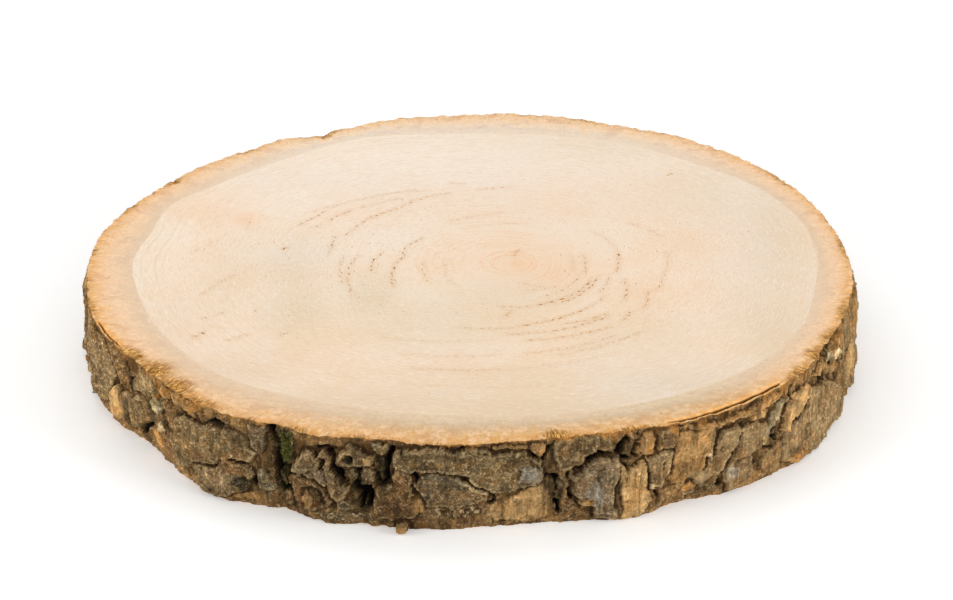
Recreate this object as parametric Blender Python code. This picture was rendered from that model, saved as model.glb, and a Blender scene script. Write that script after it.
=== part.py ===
"""A wood slice: a disc of pale wood, sawn across a trunk, inside its ring of rough bark.

Metres, +Z up. The slice lies flat, with the centre of its underside at the origin.
"""

import math
import random

import bpy
import numpy as np
from mathutils import Vector, noise

# The slice and how finely it is drawn.
THICKNESS = 0.036
AROUND = 252
WOOD_TO_BARK_GAP = 0.0003

# The outer edge of the sawn bark rim, as (angle in degrees, radius). 0 is at +X, and 270 faces front.
RIM = [
    (2, 0.1430), (20, 0.1440), (33, 0.1462), (45, 0.1471), (58, 0.1468), (66, 0.1452),
    (75, 0.1460), (83, 0.1452), (92, 0.1426), (105, 0.1415), (111, 0.1382), (114, 0.1376),
    (116.5, 0.1346), (119, 0.1368), (124, 0.1400), (129, 0.1390), (142, 0.1401), (151, 0.1395),
    (160, 0.1415), (173, 0.1430), (190, 0.1430), (201, 0.1443), (213, 0.1436), (222, 0.1448),
    (230, 0.1470), (238, 0.1470), (243, 0.1449), (250, 0.1465), (255, 0.1440), (266, 0.1445),
    (278, 0.1420), (289, 0.1430), (300, 0.1475), (311, 0.1486), (322, 0.1480), (335, 0.1443),
    (345, 0.1437), (355, 0.1436),
]
# The line between wood and bark, which follows the trunk's own slow waves.
WOOD_EDGE = [
    (4, 0.1315), (20, 0.1332), (34, 0.1320), (44, 0.1290), (64, 0.1274), (77, 0.1238),
    (92, 0.1220), (112, 0.1253), (122, 0.1224), (137, 0.1210), (147, 0.1230), (156, 0.1270),
    (168, 0.1243), (180, 0.1262), (192, 0.1248), (212, 0.1257), (226, 0.1273), (244, 0.1245),
    (264, 0.1233), (284, 0.1260), (300, 0.1292), (320, 0.1323), (334, 0.1322), (350, 0.1300),
]
# How far the foot of the bark stands inside the rim above it. Less than nothing is outside it.
FOOT_INSET = [
    (10, 0.0010), (40, 0.0030), (75, 0.0015), (100, 0.0020), (130, 0.0010), (155, 0.0025),
    (180, -0.0020), (197, 0.0005), (208, 0.0030), (218, 0.0045), (229, 0.0018), (244, 0.0046),
    (252, 0.0030), (268, 0.0052), (282, 0.0046), (294, 0.0020), (299, 0.0065), (310, 0.0030),
    (322, 0.0002), (336, -0.0015), (350, -0.0020),
]

# The bark's plates, the lower ones first: how far out each lies, and its outline as (angle, height).
PLATES = [
    (0.0002, [
        (183, 0.004), (184, 0.030), (188, 0.034), (189.6, 0.020), (191, 0.006), (188, 0.001)]),
    (0.0006, [
        (191.6, 0.005), (190.5, 0.020), (189.6, 0.033), (194, 0.035), (197, 0.030), (199, 0.018),
        (200.6, 0.006), (196, 0.002)]),
    (0.0010, [
        (201.6, 0.005), (200, 0.016), (198.5, 0.028), (200, 0.034), (204, 0.0335), (206.4, 0.029),
        (207.2, 0.022), (205.8, 0.014), (204.4, 0.008)]),
    (0.0004, [
        (207, 0.031), (208, 0.026), (208.4, 0.020), (210.6, 0.019), (211.4, 0.023), (211.2, 0.029),
        (210, 0.034), (208.2, 0.034)]),
    (0.0014, [
        (204.6, 0.009), (205.6, 0.013), (207, 0.017), (208.2, 0.0195), (209, 0.018), (208.9, 0.015),
        (209.6, 0.0105), (210, 0.005), (206, 0.0042), (205, 0.0065)]),
    (0.0008, [
        (209.3, 0.0172), (210.5, 0.0188), (212.6, 0.0186), (214.2, 0.0168), (215.1, 0.0138),
        (214.4, 0.0095), (213.2, 0.006), (212, 0.005), (211.4, 0.006), (210.3, 0.011)]),
    (-0.0002, [
        (213, 0.022), (213, 0.030), (214.5, 0.034), (218, 0.034), (219.6, 0.031), (218.8, 0.026),
        (219, 0.021), (219, 0.016), (217.5, 0.014), (216, 0.017), (216.6, 0.021), (215, 0.0228)]),
    (0.0002, [
        (216.2, 0.006), (217, 0.0108), (219, 0.0112), (220, 0.009), (219.8, 0.005)]),
    (0.0010, [
        (213.4, 0.0186), (213.7, 0.0204), (214.8, 0.0206), (215.2, 0.0192), (214.4, 0.0184)]),
    (0.0012, [
        (219, 0.027), (219.9, 0.0295), (221.4, 0.0285), (222, 0.026), (221.5, 0.023),
        (220.6, 0.0205), (219.4, 0.0208), (218.9, 0.024)]),
    (0.0006, [
        (222.2, 0.0295), (225.4, 0.0288), (225.2, 0.020), (224.8, 0.008), (222.2, 0.0055),
        (220.4, 0.008), (221.4, 0.0125), (221.6, 0.0165), (223.6, 0.0168), (222.6, 0.021)]),
    (0.0009, [
        (219.4, 0.013), (219.8, 0.017), (221, 0.0172), (221.2, 0.014), (220.4, 0.0126)]),
    (0.0006, [
        (222.2, 0.0345), (222.6, 0.0312), (224, 0.0308), (226, 0.0302), (229, 0.0312), (231, 0.0318),
        (231.6, 0.0345), (228, 0.0352)]),
    (0.0016, [
        (225.6, 0.020), (226, 0.0265), (228, 0.0288), (231, 0.0282), (233, 0.0286), (234.5, 0.0297),
        (237, 0.0302), (238.6, 0.0295), (239, 0.0245), (239.8, 0.0215), (239.3, 0.0185),
        (236.5, 0.0175), (234.5, 0.0165), (233, 0.0128), (230, 0.0123), (229, 0.0092),
        (228, 0.007), (225.6, 0.0065), (225.2, 0.012)]),
    (0.0010, [
        (229, 0.0086), (229.8, 0.0115), (231, 0.012), (233, 0.0121), (234, 0.015), (235, 0.0172),
        (236.5, 0.0170), (238, 0.0164), (239, 0.0155), (239.2, 0.012), (238.2, 0.009),
        (238, 0.006), (236, 0.004), (234.5, 0.002), (233.5, 0.0002), (231, 0.0014),
        (229.5, 0.003), (229.2, 0.006)]),
    (0.0004, [
        (235.8, 0.0075), (236.4, 0.011), (238, 0.012), (238.6, 0.009), (237.6, 0.006)]),
    (0.0007, [
        (239.4, 0.010), (239.6, 0.015), (240.5, 0.0168), (241.4, 0.014), (242.1, 0.012),
        (242.2, 0.0085), (241, 0.007), (239.9, 0.008)]),
    (0.0008, [
        (239, 0.034), (239.3, 0.025), (240.2, 0.0225), (241.6, 0.026), (241.8, 0.034)]),
    (0.0014, [
        (238.7, 0.0248), (239.3, 0.0238), (240.1, 0.0218), (239.7, 0.0214), (239.1, 0.0228)]),
    (0.0002, [
        (235.6, 0.002), (236, 0.0042), (239, 0.0055), (239.6, 0.0035), (238, 0.0015)]),
    (0.0004, [
        (242.4, 0.003), (242.8, 0.008), (244, 0.0092), (244.8, 0.0075), (244.8, 0.003)]),
    (0.0012, [
        (244.9, 0.0195), (245.4, 0.0212), (246.3, 0.0208), (246.9, 0.0193), (246.8, 0.018),
        (245.6, 0.0177), (244.8, 0.0182)]),
    (0.0012, [
        (245, 0.0175), (246, 0.0174), (247.4, 0.0182), (249, 0.0174), (250.4, 0.0158), (251, 0.013),
        (251.2, 0.0095), (250.6, 0.0075), (249.4, 0.007), (248.8, 0.0046), (247.4, 0.004),
        (246, 0.0045), (245, 0.006), (244.8, 0.010), (245, 0.014)]),
    (0.0004, [
        (246.4, 0.0095), (246.6, 0.0134), (248, 0.0152), (249.6, 0.015), (250.4, 0.0126),
        (250.4, 0.0092), (249.4, 0.0074), (248, 0.0054), (246.8, 0.0054)]),
    (0.0011, [
        (247, 0.0098), (247.2, 0.0124), (248.2, 0.0138), (249.4, 0.0134), (249.8, 0.0112),
        (249.4, 0.009), (248.2, 0.0092)]),
    (0.0010, [
        (246.7, 0.009), (247.1, 0.0112), (248.3, 0.0104), (248.5, 0.008), (247.8, 0.005),
        (246.9, 0.0055)]),
    (0.0016, [
        (247.6, 0.0206), (248.6, 0.0228), (249.6, 0.0238), (250.6, 0.024), (251.2, 0.021),
        (251.4, 0.0185), (250.6, 0.0164), (249.4, 0.0178), (248.2, 0.0186), (247.2, 0.0192)]),
    (0.0026, [
        (246.2, 0.021), (246.2, 0.025), (247, 0.0275), (247.8, 0.030), (248.9, 0.0302),
        (249.5, 0.0287), (250.2, 0.0272), (250.4, 0.025), (249.6, 0.0236), (248.6, 0.0225),
        (247.6, 0.0203), (246.8, 0.020)]),
    (0.0026, [
        (250.3, 0.0305), (251.1, 0.029), (251.5, 0.0265), (251.3, 0.0225), (252.2, 0.0204),
        (252.9, 0.0176), (253.8, 0.0164), (253.5, 0.014), (252.9, 0.011), (252, 0.011),
        (251.4, 0.013), (250.9, 0.016), (251, 0.020), (250.6, 0.024), (250.7, 0.0274),
        (249.9, 0.029)]),
    (0.0006, [
        (251.8, 0.0065), (251.8, 0.0095), (253.2, 0.0105), (254.2, 0.0085), (253.8, 0.006)]),
    (-0.0006, [
        (252.5, 0.0238), (254.8, 0.0236), (254.9, 0.0205), (253.8, 0.0188), (252.8, 0.0206)]),
    (0.0010, [
        (255.1, 0.0248), (256.2, 0.0254), (257.1, 0.0235), (257.1, 0.019), (256.6, 0.017),
        (255.4, 0.0172), (255.2, 0.0205)]),
    (0.0020, [
        (253, 0.031), (253.8, 0.0332), (254.8, 0.0328), (255.5, 0.031), (256, 0.0304),
        (257.2, 0.0306), (257.5, 0.029), (257, 0.027), (256, 0.0256), (254.8, 0.0252),
        (253.9, 0.0246), (252.6, 0.0248), (252.1, 0.026), (252.2, 0.029)]),
    (0.0026, [
        (256.1, 0.0296), (257.4, 0.0302), (257.2, 0.028), (256.6, 0.0264), (256.1, 0.0276)]),
    (0.0010, [
        (256.6, 0.0345), (259.3, 0.0345), (259, 0.031), (258.2, 0.0292), (257.6, 0.0304)]),
    (0.0000, [
        (257.6, 0.029), (258.7, 0.0292), (258.5, 0.024), (258.1, 0.022), (257.6, 0.023)]),
    (-0.0002, [
        (250, 0.0015), (250.6, 0.0055), (253, 0.0056), (256, 0.0056), (257, 0.0025), (254, 0.001)]),
    (0.0011, [
        (257.2, 0.016), (257.8, 0.0172), (259.2, 0.0184), (259.6, 0.0216), (260, 0.0246),
        (261.6, 0.0250), (262.2, 0.0244), (262.4, 0.020), (262.6, 0.016), (263.4, 0.012),
        (263.5, 0.008), (262.4, 0.005), (260, 0.003), (257.4, 0.0034), (256.9, 0.007),
        (257, 0.012)]),
    (0.0002, [
        (261.9, 0.0146), (263.1, 0.015), (263.7, 0.012), (263.7, 0.0074), (262.8, 0.0068),
        (261.9, 0.010)]),
    (0.0004, [
        (262.8, 0.0225), (262.9, 0.0242), (263.8, 0.024), (263.9, 0.023)]),
    (-0.0001, [
        (273, 0.0095), (274, 0.011), (275.6, 0.012), (277, 0.0138), (278.4, 0.0165),
        (280.4, 0.0167), (281.3, 0.014), (281.6, 0.009), (281.2, 0.003), (278, 0.001),
        (273.2, 0.001)]),
    (0.0012, [
        (262.6, 0.0195), (263.2, 0.0224), (264, 0.0238), (265.4, 0.0248), (267, 0.024),
        (267.8, 0.0230), (269, 0.0229), (269.6, 0.0204), (270.8, 0.0186), (271.6, 0.0168),
        (272.9, 0.015), (272.6, 0.0126), (271, 0.011), (270, 0.010), (266, 0.0096),
        (264.2, 0.010), (263.7, 0.014), (262.9, 0.017)]),
    (0.0019, [
        (260.2, 0.0254), (259.7, 0.029), (260, 0.032), (261.3, 0.034), (264, 0.035),
        (266.5, 0.0352), (268, 0.033), (270, 0.0348), (272.6, 0.0342), (273.2, 0.032),
        (278, 0.0312), (278.4, 0.0294), (280.2, 0.0266), (280.6, 0.019), (279.8, 0.0174),
        (277.6, 0.0164), (275, 0.015), (273.6, 0.0156), (271.6, 0.0174), (270.6, 0.0202),
        (269.8, 0.0236), (267, 0.0249), (265, 0.0257), (262, 0.0253)]),
    (0.0020, [
        (278.8, 0.0195), (279, 0.023), (280.1, 0.0234), (280.5, 0.020), (279.8, 0.0184)]),
    (0.0013, [
        (278.2, 0.034), (278.5, 0.0314), (279.5, 0.030), (279.9, 0.028), (280.4, 0.030),
        (280.7, 0.0332), (280, 0.035)]),
    (-0.0012, [
        (282.7, 0.018), (283.5, 0.0196), (283.8, 0.016), (283.6, 0.012), (283.3, 0.009),
        (282.8, 0.007), (282.6, 0.011)]),
    (0.0012, [
        (281.7, 0.0334), (282, 0.027), (282.6, 0.023), (283.6, 0.0225), (285, 0.0240),
        (286, 0.0254), (286.8, 0.0274), (288, 0.0288), (289.6, 0.0294), (290, 0.031),
        (289.4, 0.035), (285, 0.0355), (282, 0.035)]),
    (0.0002, [
        (283.2, 0.008), (285, 0.0088), (286.6, 0.0068), (287.4, 0.005), (287.6, 0.001),
        (283.4, 0.001), (283, 0.005)]),
    (0.0019, [
        (284.3, 0.0202), (285.6, 0.0208), (286.2, 0.0226), (286.6, 0.0248), (287.4, 0.0264),
        (288.6, 0.0268), (289.8, 0.0262), (290.9, 0.0266), (291, 0.023), (290.9, 0.018),
        (290.4, 0.012), (290.6, 0.006), (291, 0.001), (288, 0.0012), (287.8, 0.006),
        (287, 0.009), (285.6, 0.0096), (284.9, 0.012), (284.8, 0.016)]),
    (0.0020, [
        (287.4, 0.0175), (288.2, 0.019), (288.9, 0.017), (288.8, 0.012), (288.9, 0.004),
        (288.1, 0.003), (287.6, 0.009), (286.6, 0.011), (286, 0.0126), (287, 0.014)]),
    (0.0016, [
        (285.4, 0.0094), (286.6, 0.0098), (287.4, 0.0088), (287.4, 0.0066), (286.6, 0.0072),
        (285.8, 0.008)]),
    (0.0008, [
        (291.2, 0.0235), (292, 0.0215), (293.4, 0.022), (294.2, 0.024), (295.4, 0.020),
        (295.4, 0.014), (295.6, 0.010), (296.3, 0.006), (294.9, 0.0024), (294.2, 0.0002),
        (291.8, 0.0004), (291.6, 0.008), (291.1, 0.014), (290.9, 0.020)]),
    (0.0010, [
        (293.8, 0.032), (294.2, 0.035), (295.6, 0.035), (296, 0.031), (295.8, 0.026),
        (294.4, 0.0256), (293.8, 0.0276)]),
    (0.0010, [
        (296.3, 0.0346), (299.2, 0.0348), (299.2, 0.028), (298.8, 0.0268), (297.4, 0.027),
        (296.3, 0.0262)]),
    (0.0009, [
        (294.6, 0.0238), (296, 0.0242), (297.4, 0.026), (298.8, 0.025), (299, 0.020),
        (298.8, 0.016), (298.2, 0.012), (296.8, 0.0106), (295.8, 0.013), (295.6, 0.018)]),
    (0.0010, [
        (295.8, 0.0128), (296.6, 0.012), (296.6, 0.0098), (295.8, 0.0104)]),
    (0.0007, [
        (299.2, 0.0325), (304.6, 0.0320), (305.2, 0.029), (305, 0.022), (304.4, 0.015),
        (302.6, 0.011), (300, 0.009), (298.6, 0.012), (299.2, 0.018), (299, 0.026)]),
    (0.0002, [
        (296.8, 0.003), (297.6, 0.0085), (300, 0.0086), (302, 0.0104), (303.8, 0.006), (304, 0.002),
        (300, 0.0015)]),
    (0.0006, [
        (301.1, 0.008), (302.6, 0.0086), (303.4, 0.007), (303.4, 0.003), (301.2, 0.003)]),
    (0.0014, [
        (301.6, 0.0116), (302.6, 0.0136), (304, 0.0138), (305, 0.016), (305.2, 0.021),
        (305.4, 0.026), (305.8, 0.0285), (308.4, 0.0292), (309.2, 0.027), (308.9, 0.022),
        (308, 0.0175), (307.2, 0.0126), (306.4, 0.009), (305.4, 0.008), (304.4, 0.0064),
        (303.6, 0.0062), (302.6, 0.009)]),
    (0.0022, [
        (303.6, 0.0208), (304.4, 0.0204), (305, 0.018), (304.9, 0.0146), (304.6, 0.0148),
        (304.6, 0.0178), (304.2, 0.0194)]),
    (0.0012, [
        (309.7, 0.0272), (312, 0.0264), (314, 0.0246), (314.6, 0.022), (314.3, 0.017),
        (313.6, 0.0156), (312.2, 0.0142), (312, 0.011), (312.4, 0.008), (311.6, 0.003),
        (308.4, 0.001), (307.6, 0.006), (307.7, 0.010), (308.6, 0.015), (309.5, 0.021)]),
    (0.0013, [
        (308, 0.011), (309.4, 0.0126), (310, 0.009), (309.6, 0.006), (308.2, 0.006)]),
    (0.0010, [
        (310.4, 0.030), (313.8, 0.0312), (314.6, 0.0286), (313.6, 0.0268), (311.4, 0.0274)]),
    (0.0017, [
        (314.4, 0.023), (314.8, 0.027), (316, 0.0302), (317.6, 0.0314), (318.7, 0.031),
        (318.2, 0.029), (316.8, 0.027), (315.5, 0.0246), (314.8, 0.0216), (314.4, 0.018),
        (313.3, 0.0162), (313.3, 0.0192)]),
    (0.0012, [
        (300, 0.0336), (306, 0.0334), (312, 0.0338), (316, 0.0345), (318.4, 0.033), (316, 0.031),
        (314, 0.0304), (311, 0.0302), (308.6, 0.0312), (304.6, 0.0314)]),
    (0.0006, [
        (313.6, 0.0066), (313.8, 0.0096), (315, 0.012), (316.6, 0.0134), (318, 0.0136),
        (318.6, 0.010), (318, 0.004), (315, 0.003)]),
    (0.0014, [
        (318.8, 0.0148), (320.5, 0.0168), (323.4, 0.0204), (324.4, 0.024), (326, 0.026),
        (328.6, 0.025), (330.4, 0.024), (333, 0.020), (335.6, 0.015), (337, 0.009), (336, 0.001),
        (326, 0.0002), (321, 0.001), (318.6, 0.004), (318.4, 0.010)]),
    (0.0019, [
        (317.6, 0.024), (318.6, 0.0268), (319.8, 0.0296), (322, 0.031), (324, 0.030),
        (324.6, 0.026), (323, 0.023), (321.6, 0.0216), (319.6, 0.0204), (318, 0.0176),
        (317, 0.0188)]),
    (0.0016, [
        (320, 0.003), (320.6, 0.0056), (322, 0.006), (323.6, 0.0044), (324, 0.001), (321, 0.0005)]),
    (0.0008, [
        (325, 0.0315), (327, 0.029), (329.5, 0.0275), (331, 0.025), (334, 0.022), (337, 0.019),
        (340, 0.016), (341, 0.026), (338, 0.034), (330, 0.035)]),
    (0.0015, [
        (331, 0.0335), (334, 0.032), (337, 0.0286), (338.6, 0.0254), (336.6, 0.025), (334, 0.027),
        (331.6, 0.0294), (330.6, 0.031)]),
    (0.0006, [
        (341.8, 0.005), (341.6, 0.020), (342, 0.033), (346, 0.034), (349, 0.024), (350.6, 0.008),
        (346, 0.002)]),
    (0.0010, [
        (342.5, 0.010), (343, 0.018), (345.5, 0.022), (347.6, 0.014), (346.4, 0.006)]),
    (0.0004, [
        (351.6, 0.004), (350.4, 0.020), (350, 0.033), (354.6, 0.034), (356, 0.018), (355, 0.004)]),
    (0.0034, [
        (260.1, 0.0036), (260, 0.0014), (260.4, 0.0), (261.4, 0.0), (261.8, 0.0012),
        (261.7, 0.0036)]),
]
# Open cracks between them, each as its course of (angle, height), half width and depth.
CRACKS = [
    ([(190.2, 0.0345), (190.2, 0.020), (191.6, 0.003)], 0.0010, 0.0030),
    ([(199.4, 0.034), (198.6, 0.026), (200.4, 0.014), (201.4, 0.003)], 0.0010, 0.0034),
    ([(204.6, 0.0346), (206.4, 0.0344), (208.2, 0.0350)], 0.0007, 0.0022),
    ([(208.8, 0.0325), (208.8, 0.0300)], 0.0008, 0.0030),
    ([(208.9, 0.0172), (209.7, 0.0130), (210.3, 0.0080), (211.2, 0.0045)], 0.0011, 0.0050),
    ([(211.4, 0.0318), (211.9, 0.0290)], 0.0007, 0.0028),
    ([(212.3, 0.0275), (212.3, 0.0245), (212.0, 0.0220)], 0.0012, 0.0056),
    ([(212.8, 0.0030), (214, 0.0060), (215.3, 0.0093), (217.2, 0.0124)], 0.0011, 0.0044),
    ([(213.2, 0.0215), (215, 0.0222), (216.6, 0.0210), (216.9, 0.0186)], 0.0007, 0.0026),
    ([(220.5, 0.0188), (221.6, 0.0178), (223.2, 0.0178)], 0.0006, 0.0030),
    ([(220.2, 0.0322), (221.0, 0.0316), (221.6, 0.0296)], 0.0009, 0.0046),
    ([(231.9, 0.0292), (232.9, 0.0308), (235, 0.0316)], 0.0009, 0.0034),
    ([(229.3, 0.0118), (231, 0.0127), (233.2, 0.0136)], 0.0004, 0.0016),
    ([(238.4, 0.0140), (239.2, 0.0120), (239.2, 0.0095)], 0.0006, 0.0024),
    ([(242.6, 0.0345), (243.2, 0.0280), (242.9, 0.0200), (242.8, 0.0140), (243.6, 0.0095)], 0.0017, 0.0060),
    ([(244.4, 0.0210), (244.2, 0.0140), (244.4, 0.0100)], 0.0009, 0.0034),
    ([(249.6, 0.0310), (250.4, 0.0318), (252.4, 0.0306)], 0.0006, 0.0026),
    ([(251.8, 0.0294), (251.8, 0.0240), (252.6, 0.0200), (253.6, 0.0182)], 0.0010, 0.0060),
    ([(254.0, 0.0292), (254.1, 0.0276)], 0.0011, 0.0060),
    ([(252.6, 0.0243), (254.5, 0.0243), (254.9, 0.0228)], 0.0005, 0.0030),
    ([(254.8, 0.0215), (254.7, 0.0170), (255.4, 0.0130), (255.2, 0.0080)], 0.0012, 0.0064),
    ([(256.2, 0.0158), (256.5, 0.0120), (256.2, 0.0085)], 0.0011, 0.0060),
    ([(260.0, 0.0335), (259.2, 0.0300), (258.9, 0.0240), (258.6, 0.0190), (257.9, 0.0178)], 0.0008, 0.0052),
    ([(256.9, 0.0272), (257.3, 0.0235), (257.7, 0.0190)], 0.0008, 0.0046),
    ([(261.8, 0.0244), (262.6, 0.0236), (262.9, 0.0215)], 0.0006, 0.0026),
    ([(264, 0.0252), (266.4, 0.0250), (269, 0.0238)], 0.0004, 0.0020),
    ([(268.2, 0.0328), (269.0, 0.0342), (270.0, 0.0350)], 0.0004, 0.0022),
    ([(272.2, 0.0332), (272.4, 0.0322)], 0.0008, 0.0030),
    ([(271.9, 0.0174), (273.3, 0.0152), (273.7, 0.0118), (272.8, 0.0105)], 0.0007, 0.0036),
    ([(278.5, 0.0312), (279.3, 0.0288)], 0.0006, 0.0026),
    ([(281.2, 0.0326), (280.9, 0.0296), (280.4, 0.0272)], 0.0008, 0.0044),
    ([(281.0, 0.0206), (282.3, 0.0190), (282.4, 0.0140), (282.4, 0.0090), (282.9, 0.0055)], 0.0010, 0.0054),
    ([(284.0, 0.0210), (284.3, 0.0160), (284.2, 0.0110), (284.8, 0.0098)], 0.0008, 0.0046),
    ([(284.6, 0.0218), (286.0, 0.0232), (286.6, 0.0258), (288.0, 0.0278), (290.0, 0.0280)], 0.0006, 0.0040),
    ([(290.6, 0.0280), (291.2, 0.0306), (292.2, 0.0330), (292.3, 0.0310)], 0.0011, 0.0056),
    ([(293.4, 0.0346), (293.3, 0.0312)], 0.0006, 0.0034),
    ([(293.1, 0.0300), (292.9, 0.0264), (293.4, 0.0244), (292.0, 0.0250)], 0.0011, 0.0056),
    ([(293.8, 0.0250), (296.2, 0.0246)], 0.0004, 0.0026),
    ([(291.6, 0.0225), (292.4, 0.0202)], 0.0005, 0.0024),
    ([(297.4, 0.0212), (297.6, 0.0178)], 0.0005, 0.0024),
    ([(296.8, 0.0090), (297.2, 0.0072)], 0.0010, 0.0034),
    ([(304.2, 0.0186), (304.3, 0.0146)], 0.0006, 0.0022),
    ([(299.2, 0.0349), (304, 0.0346), (309.5, 0.0346), (313, 0.0354), (316.4, 0.0356)], 0.0005, 0.0030),
    ([(309.5, 0.0276), (309.3, 0.0240), (308.7, 0.0190), (307.9, 0.0140)], 0.0006, 0.0030),
    ([(307.9, 0.0140), (307.3, 0.0100), (307.1, 0.0052)], 0.0009, 0.0046),
    ([(308.2, 0.0132), (311.6, 0.0126)], 0.0003, 0.0014),
    ([(319.6, 0.0330), (319.3, 0.0303), (318.0, 0.0276), (316.4, 0.0246), (315.4, 0.0210)], 0.0010, 0.0060),
    ([(315.4, 0.0210), (315.3, 0.0180), (316.5, 0.0156)], 0.0012, 0.0056),
    ([(313.1, 0.0148), (312.4, 0.0124)], 0.0007, 0.0034),
    ([(314.4, 0.0142), (315.6, 0.0130)], 0.0006, 0.0030),
    ([(313.0, 0.0100), (313.4, 0.0076), (312.0, 0.0046)], 0.0007, 0.0034),
    ([(318.2, 0.0146), (318.6, 0.0166), (320.0, 0.0180), (322.4, 0.0192)], 0.0007, 0.0040),
    ([(327.4, 0.0290), (328.4, 0.0276), (329.0, 0.0256)], 0.0012, 0.0046),
    ([(329.2, 0.0344), (330.2, 0.0318)], 0.0008, 0.0044),
    ([(331.6, 0.0292), (333.0, 0.0276)], 0.0006, 0.0028),
    ([(337.0, 0.0240), (339.6, 0.0200), (341.6, 0.0182)], 0.0008, 0.0032),
    ([(336.0, 0.0190), (337.4, 0.0150)], 0.0006, 0.0024),
    ([(341.4, 0.0340), (341.2, 0.0200), (342.0, 0.0060), (341.6, 0.0010)], 0.0010, 0.0036),
    ([(350.0, 0.0340), (350.2, 0.0180), (351.4, 0.0030)], 0.0010, 0.0036),
]
# The side that faces away has the same kind of bark, in strips up the trunk with a crack between
# each two and a break across each, by seeded draws between these limits.
FAR_STRETCH = (-4, 182)
FAR_SEED = 11
FAR_STRIP = (5.0, 9.5)
FAR_CRACK_TOP = (0.026, 0.0355)
FAR_CRACK_FOOT = (0.000, 0.012)
FAR_CRACK_HALF_WIDTH = (0.0008, 0.0016)
FAR_CRACK_DEPTH = (0.0030, 0.0056)
FAR_LEAN = 2.5
FAR_BEND = 1.2
FAR_BREAK = (0.010, 0.026)
FAR_WIDTH_SHARE = (0.42, 0.56)
FAR_HEIGHT_SHARE = (0.46, 0.58)
FAR_OUT = (-0.0008, 0.0010)
# Some of these plates carry a smaller one.
UPPER_CHANCE = 0.6
UPPER_SHIFT = 2
UPPER_SIZE = (0.003, 0.008)
UPPER_OUT = (0.0004, 0.0010)

# The bark under the plates, how steeply a plate ends, how ragged its edge is and how the side swells.
BED = -0.0004
EDGE_WIDTH = 0.0016
RAGGEDNESS = 0.0007
SWELL = 0.0010
# How many times a metre each kind of unevenness comes and goes.
RAGGED_TIMES = 380
RAGGED_APART = 7.7
SWELL_TIMES = 55
CHIP_TIMES = 260
# No crack is narrower than this here, and each keeps this share of its depth.
CRACK_LEAST_HALF_WIDTH = 0.0016
CRACK_DEPTH_SHARE = 0.75
# The saw cut through the bark: its relief starts this far below the rim, and its foot is chipped.
RIM_BAND = 0.0016
FOOT_BAND = 0.0040
FOOT_CHIP = 0.0004
# The rim's edge is frayed by this much, this many times a radian.
RIM_FRAY = 0.0006
FRAY_TIMES = 34
# How far a degree reaches along the side.
REACH_OF_A_DEGREE = 0.00252

# Rows of the ring's section: up the outer side, in over the rim, down the hidden side, out below.
SIDE_ROWS = 19
RIM_ROWS = 2
SECTION = SIDE_ROWS + 2 * RIM_ROWS

# Colours and roughness.
BARK_BROWN = (0.21, 0.15, 0.10)
BARK_ROUGHNESS = 0.9
WOOD_CREAM = (0.78, 0.60, 0.43)
WOOD_ROUGHNESS = 0.65


def on_closed_curve(points, angles):
    """Values at angles in degrees, on a smooth closed curve through (angle, value) points."""
    wide = [(a - 360, v) for a, v in points[-2:]] + points + [(a + 360, v) for a, v in points[:2]]
    at = np.array([a for a, _ in wide], float)
    value = np.array([v for _, v in wide], float)
    slope = np.gradient(value, at)
    turned = np.mod(np.asarray(angles, float), 360)
    index = np.searchsorted(at, turned, side="right") - 1
    span = at[index + 1] - at[index]
    t = (turned - at[index]) / span
    start = value[index] * (1 + 2 * t) + slope[index] * span * t
    end = value[index + 1] * (3 - 2 * t) - slope[index + 1] * span * (1 - t)
    return start * (1 - t) ** 2 + end * t * t


def smooth(value, low, high):
    """An easy rise from 0 to 1 between two values."""
    t = np.clip((value - low) / (high - low), 0, 1)
    return t * t * (3 - 2 * t)


def noise_at(places, times, offset=0.0):
    """Smooth noise from -1 to 1 at each place."""
    return np.array([noise.noise(Vector(place)) for place in (places * times + offset).tolist()])


def ragged_ring(draw, angle, height, half_width, half_height, corners):
    """A rough closed outline, as (angle, height) points, with its half sizes in metres."""
    outline = []
    start = draw.uniform(0, math.tau)
    for corner in range(corners):
        turn = start + math.tau * (corner + draw.uniform(-0.25, 0.25)) / corners
        square = 1 / max(abs(math.cos(turn)), abs(math.sin(turn)))
        reach = (1 + 0.7 * (square - 1)) * draw.uniform(0.78, 1.08)
        across = half_width * reach * math.cos(turn) / REACH_OF_A_DEGREE
        outline.append((angle + across, height + half_height * reach * math.sin(turn)))
    return outline


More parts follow.
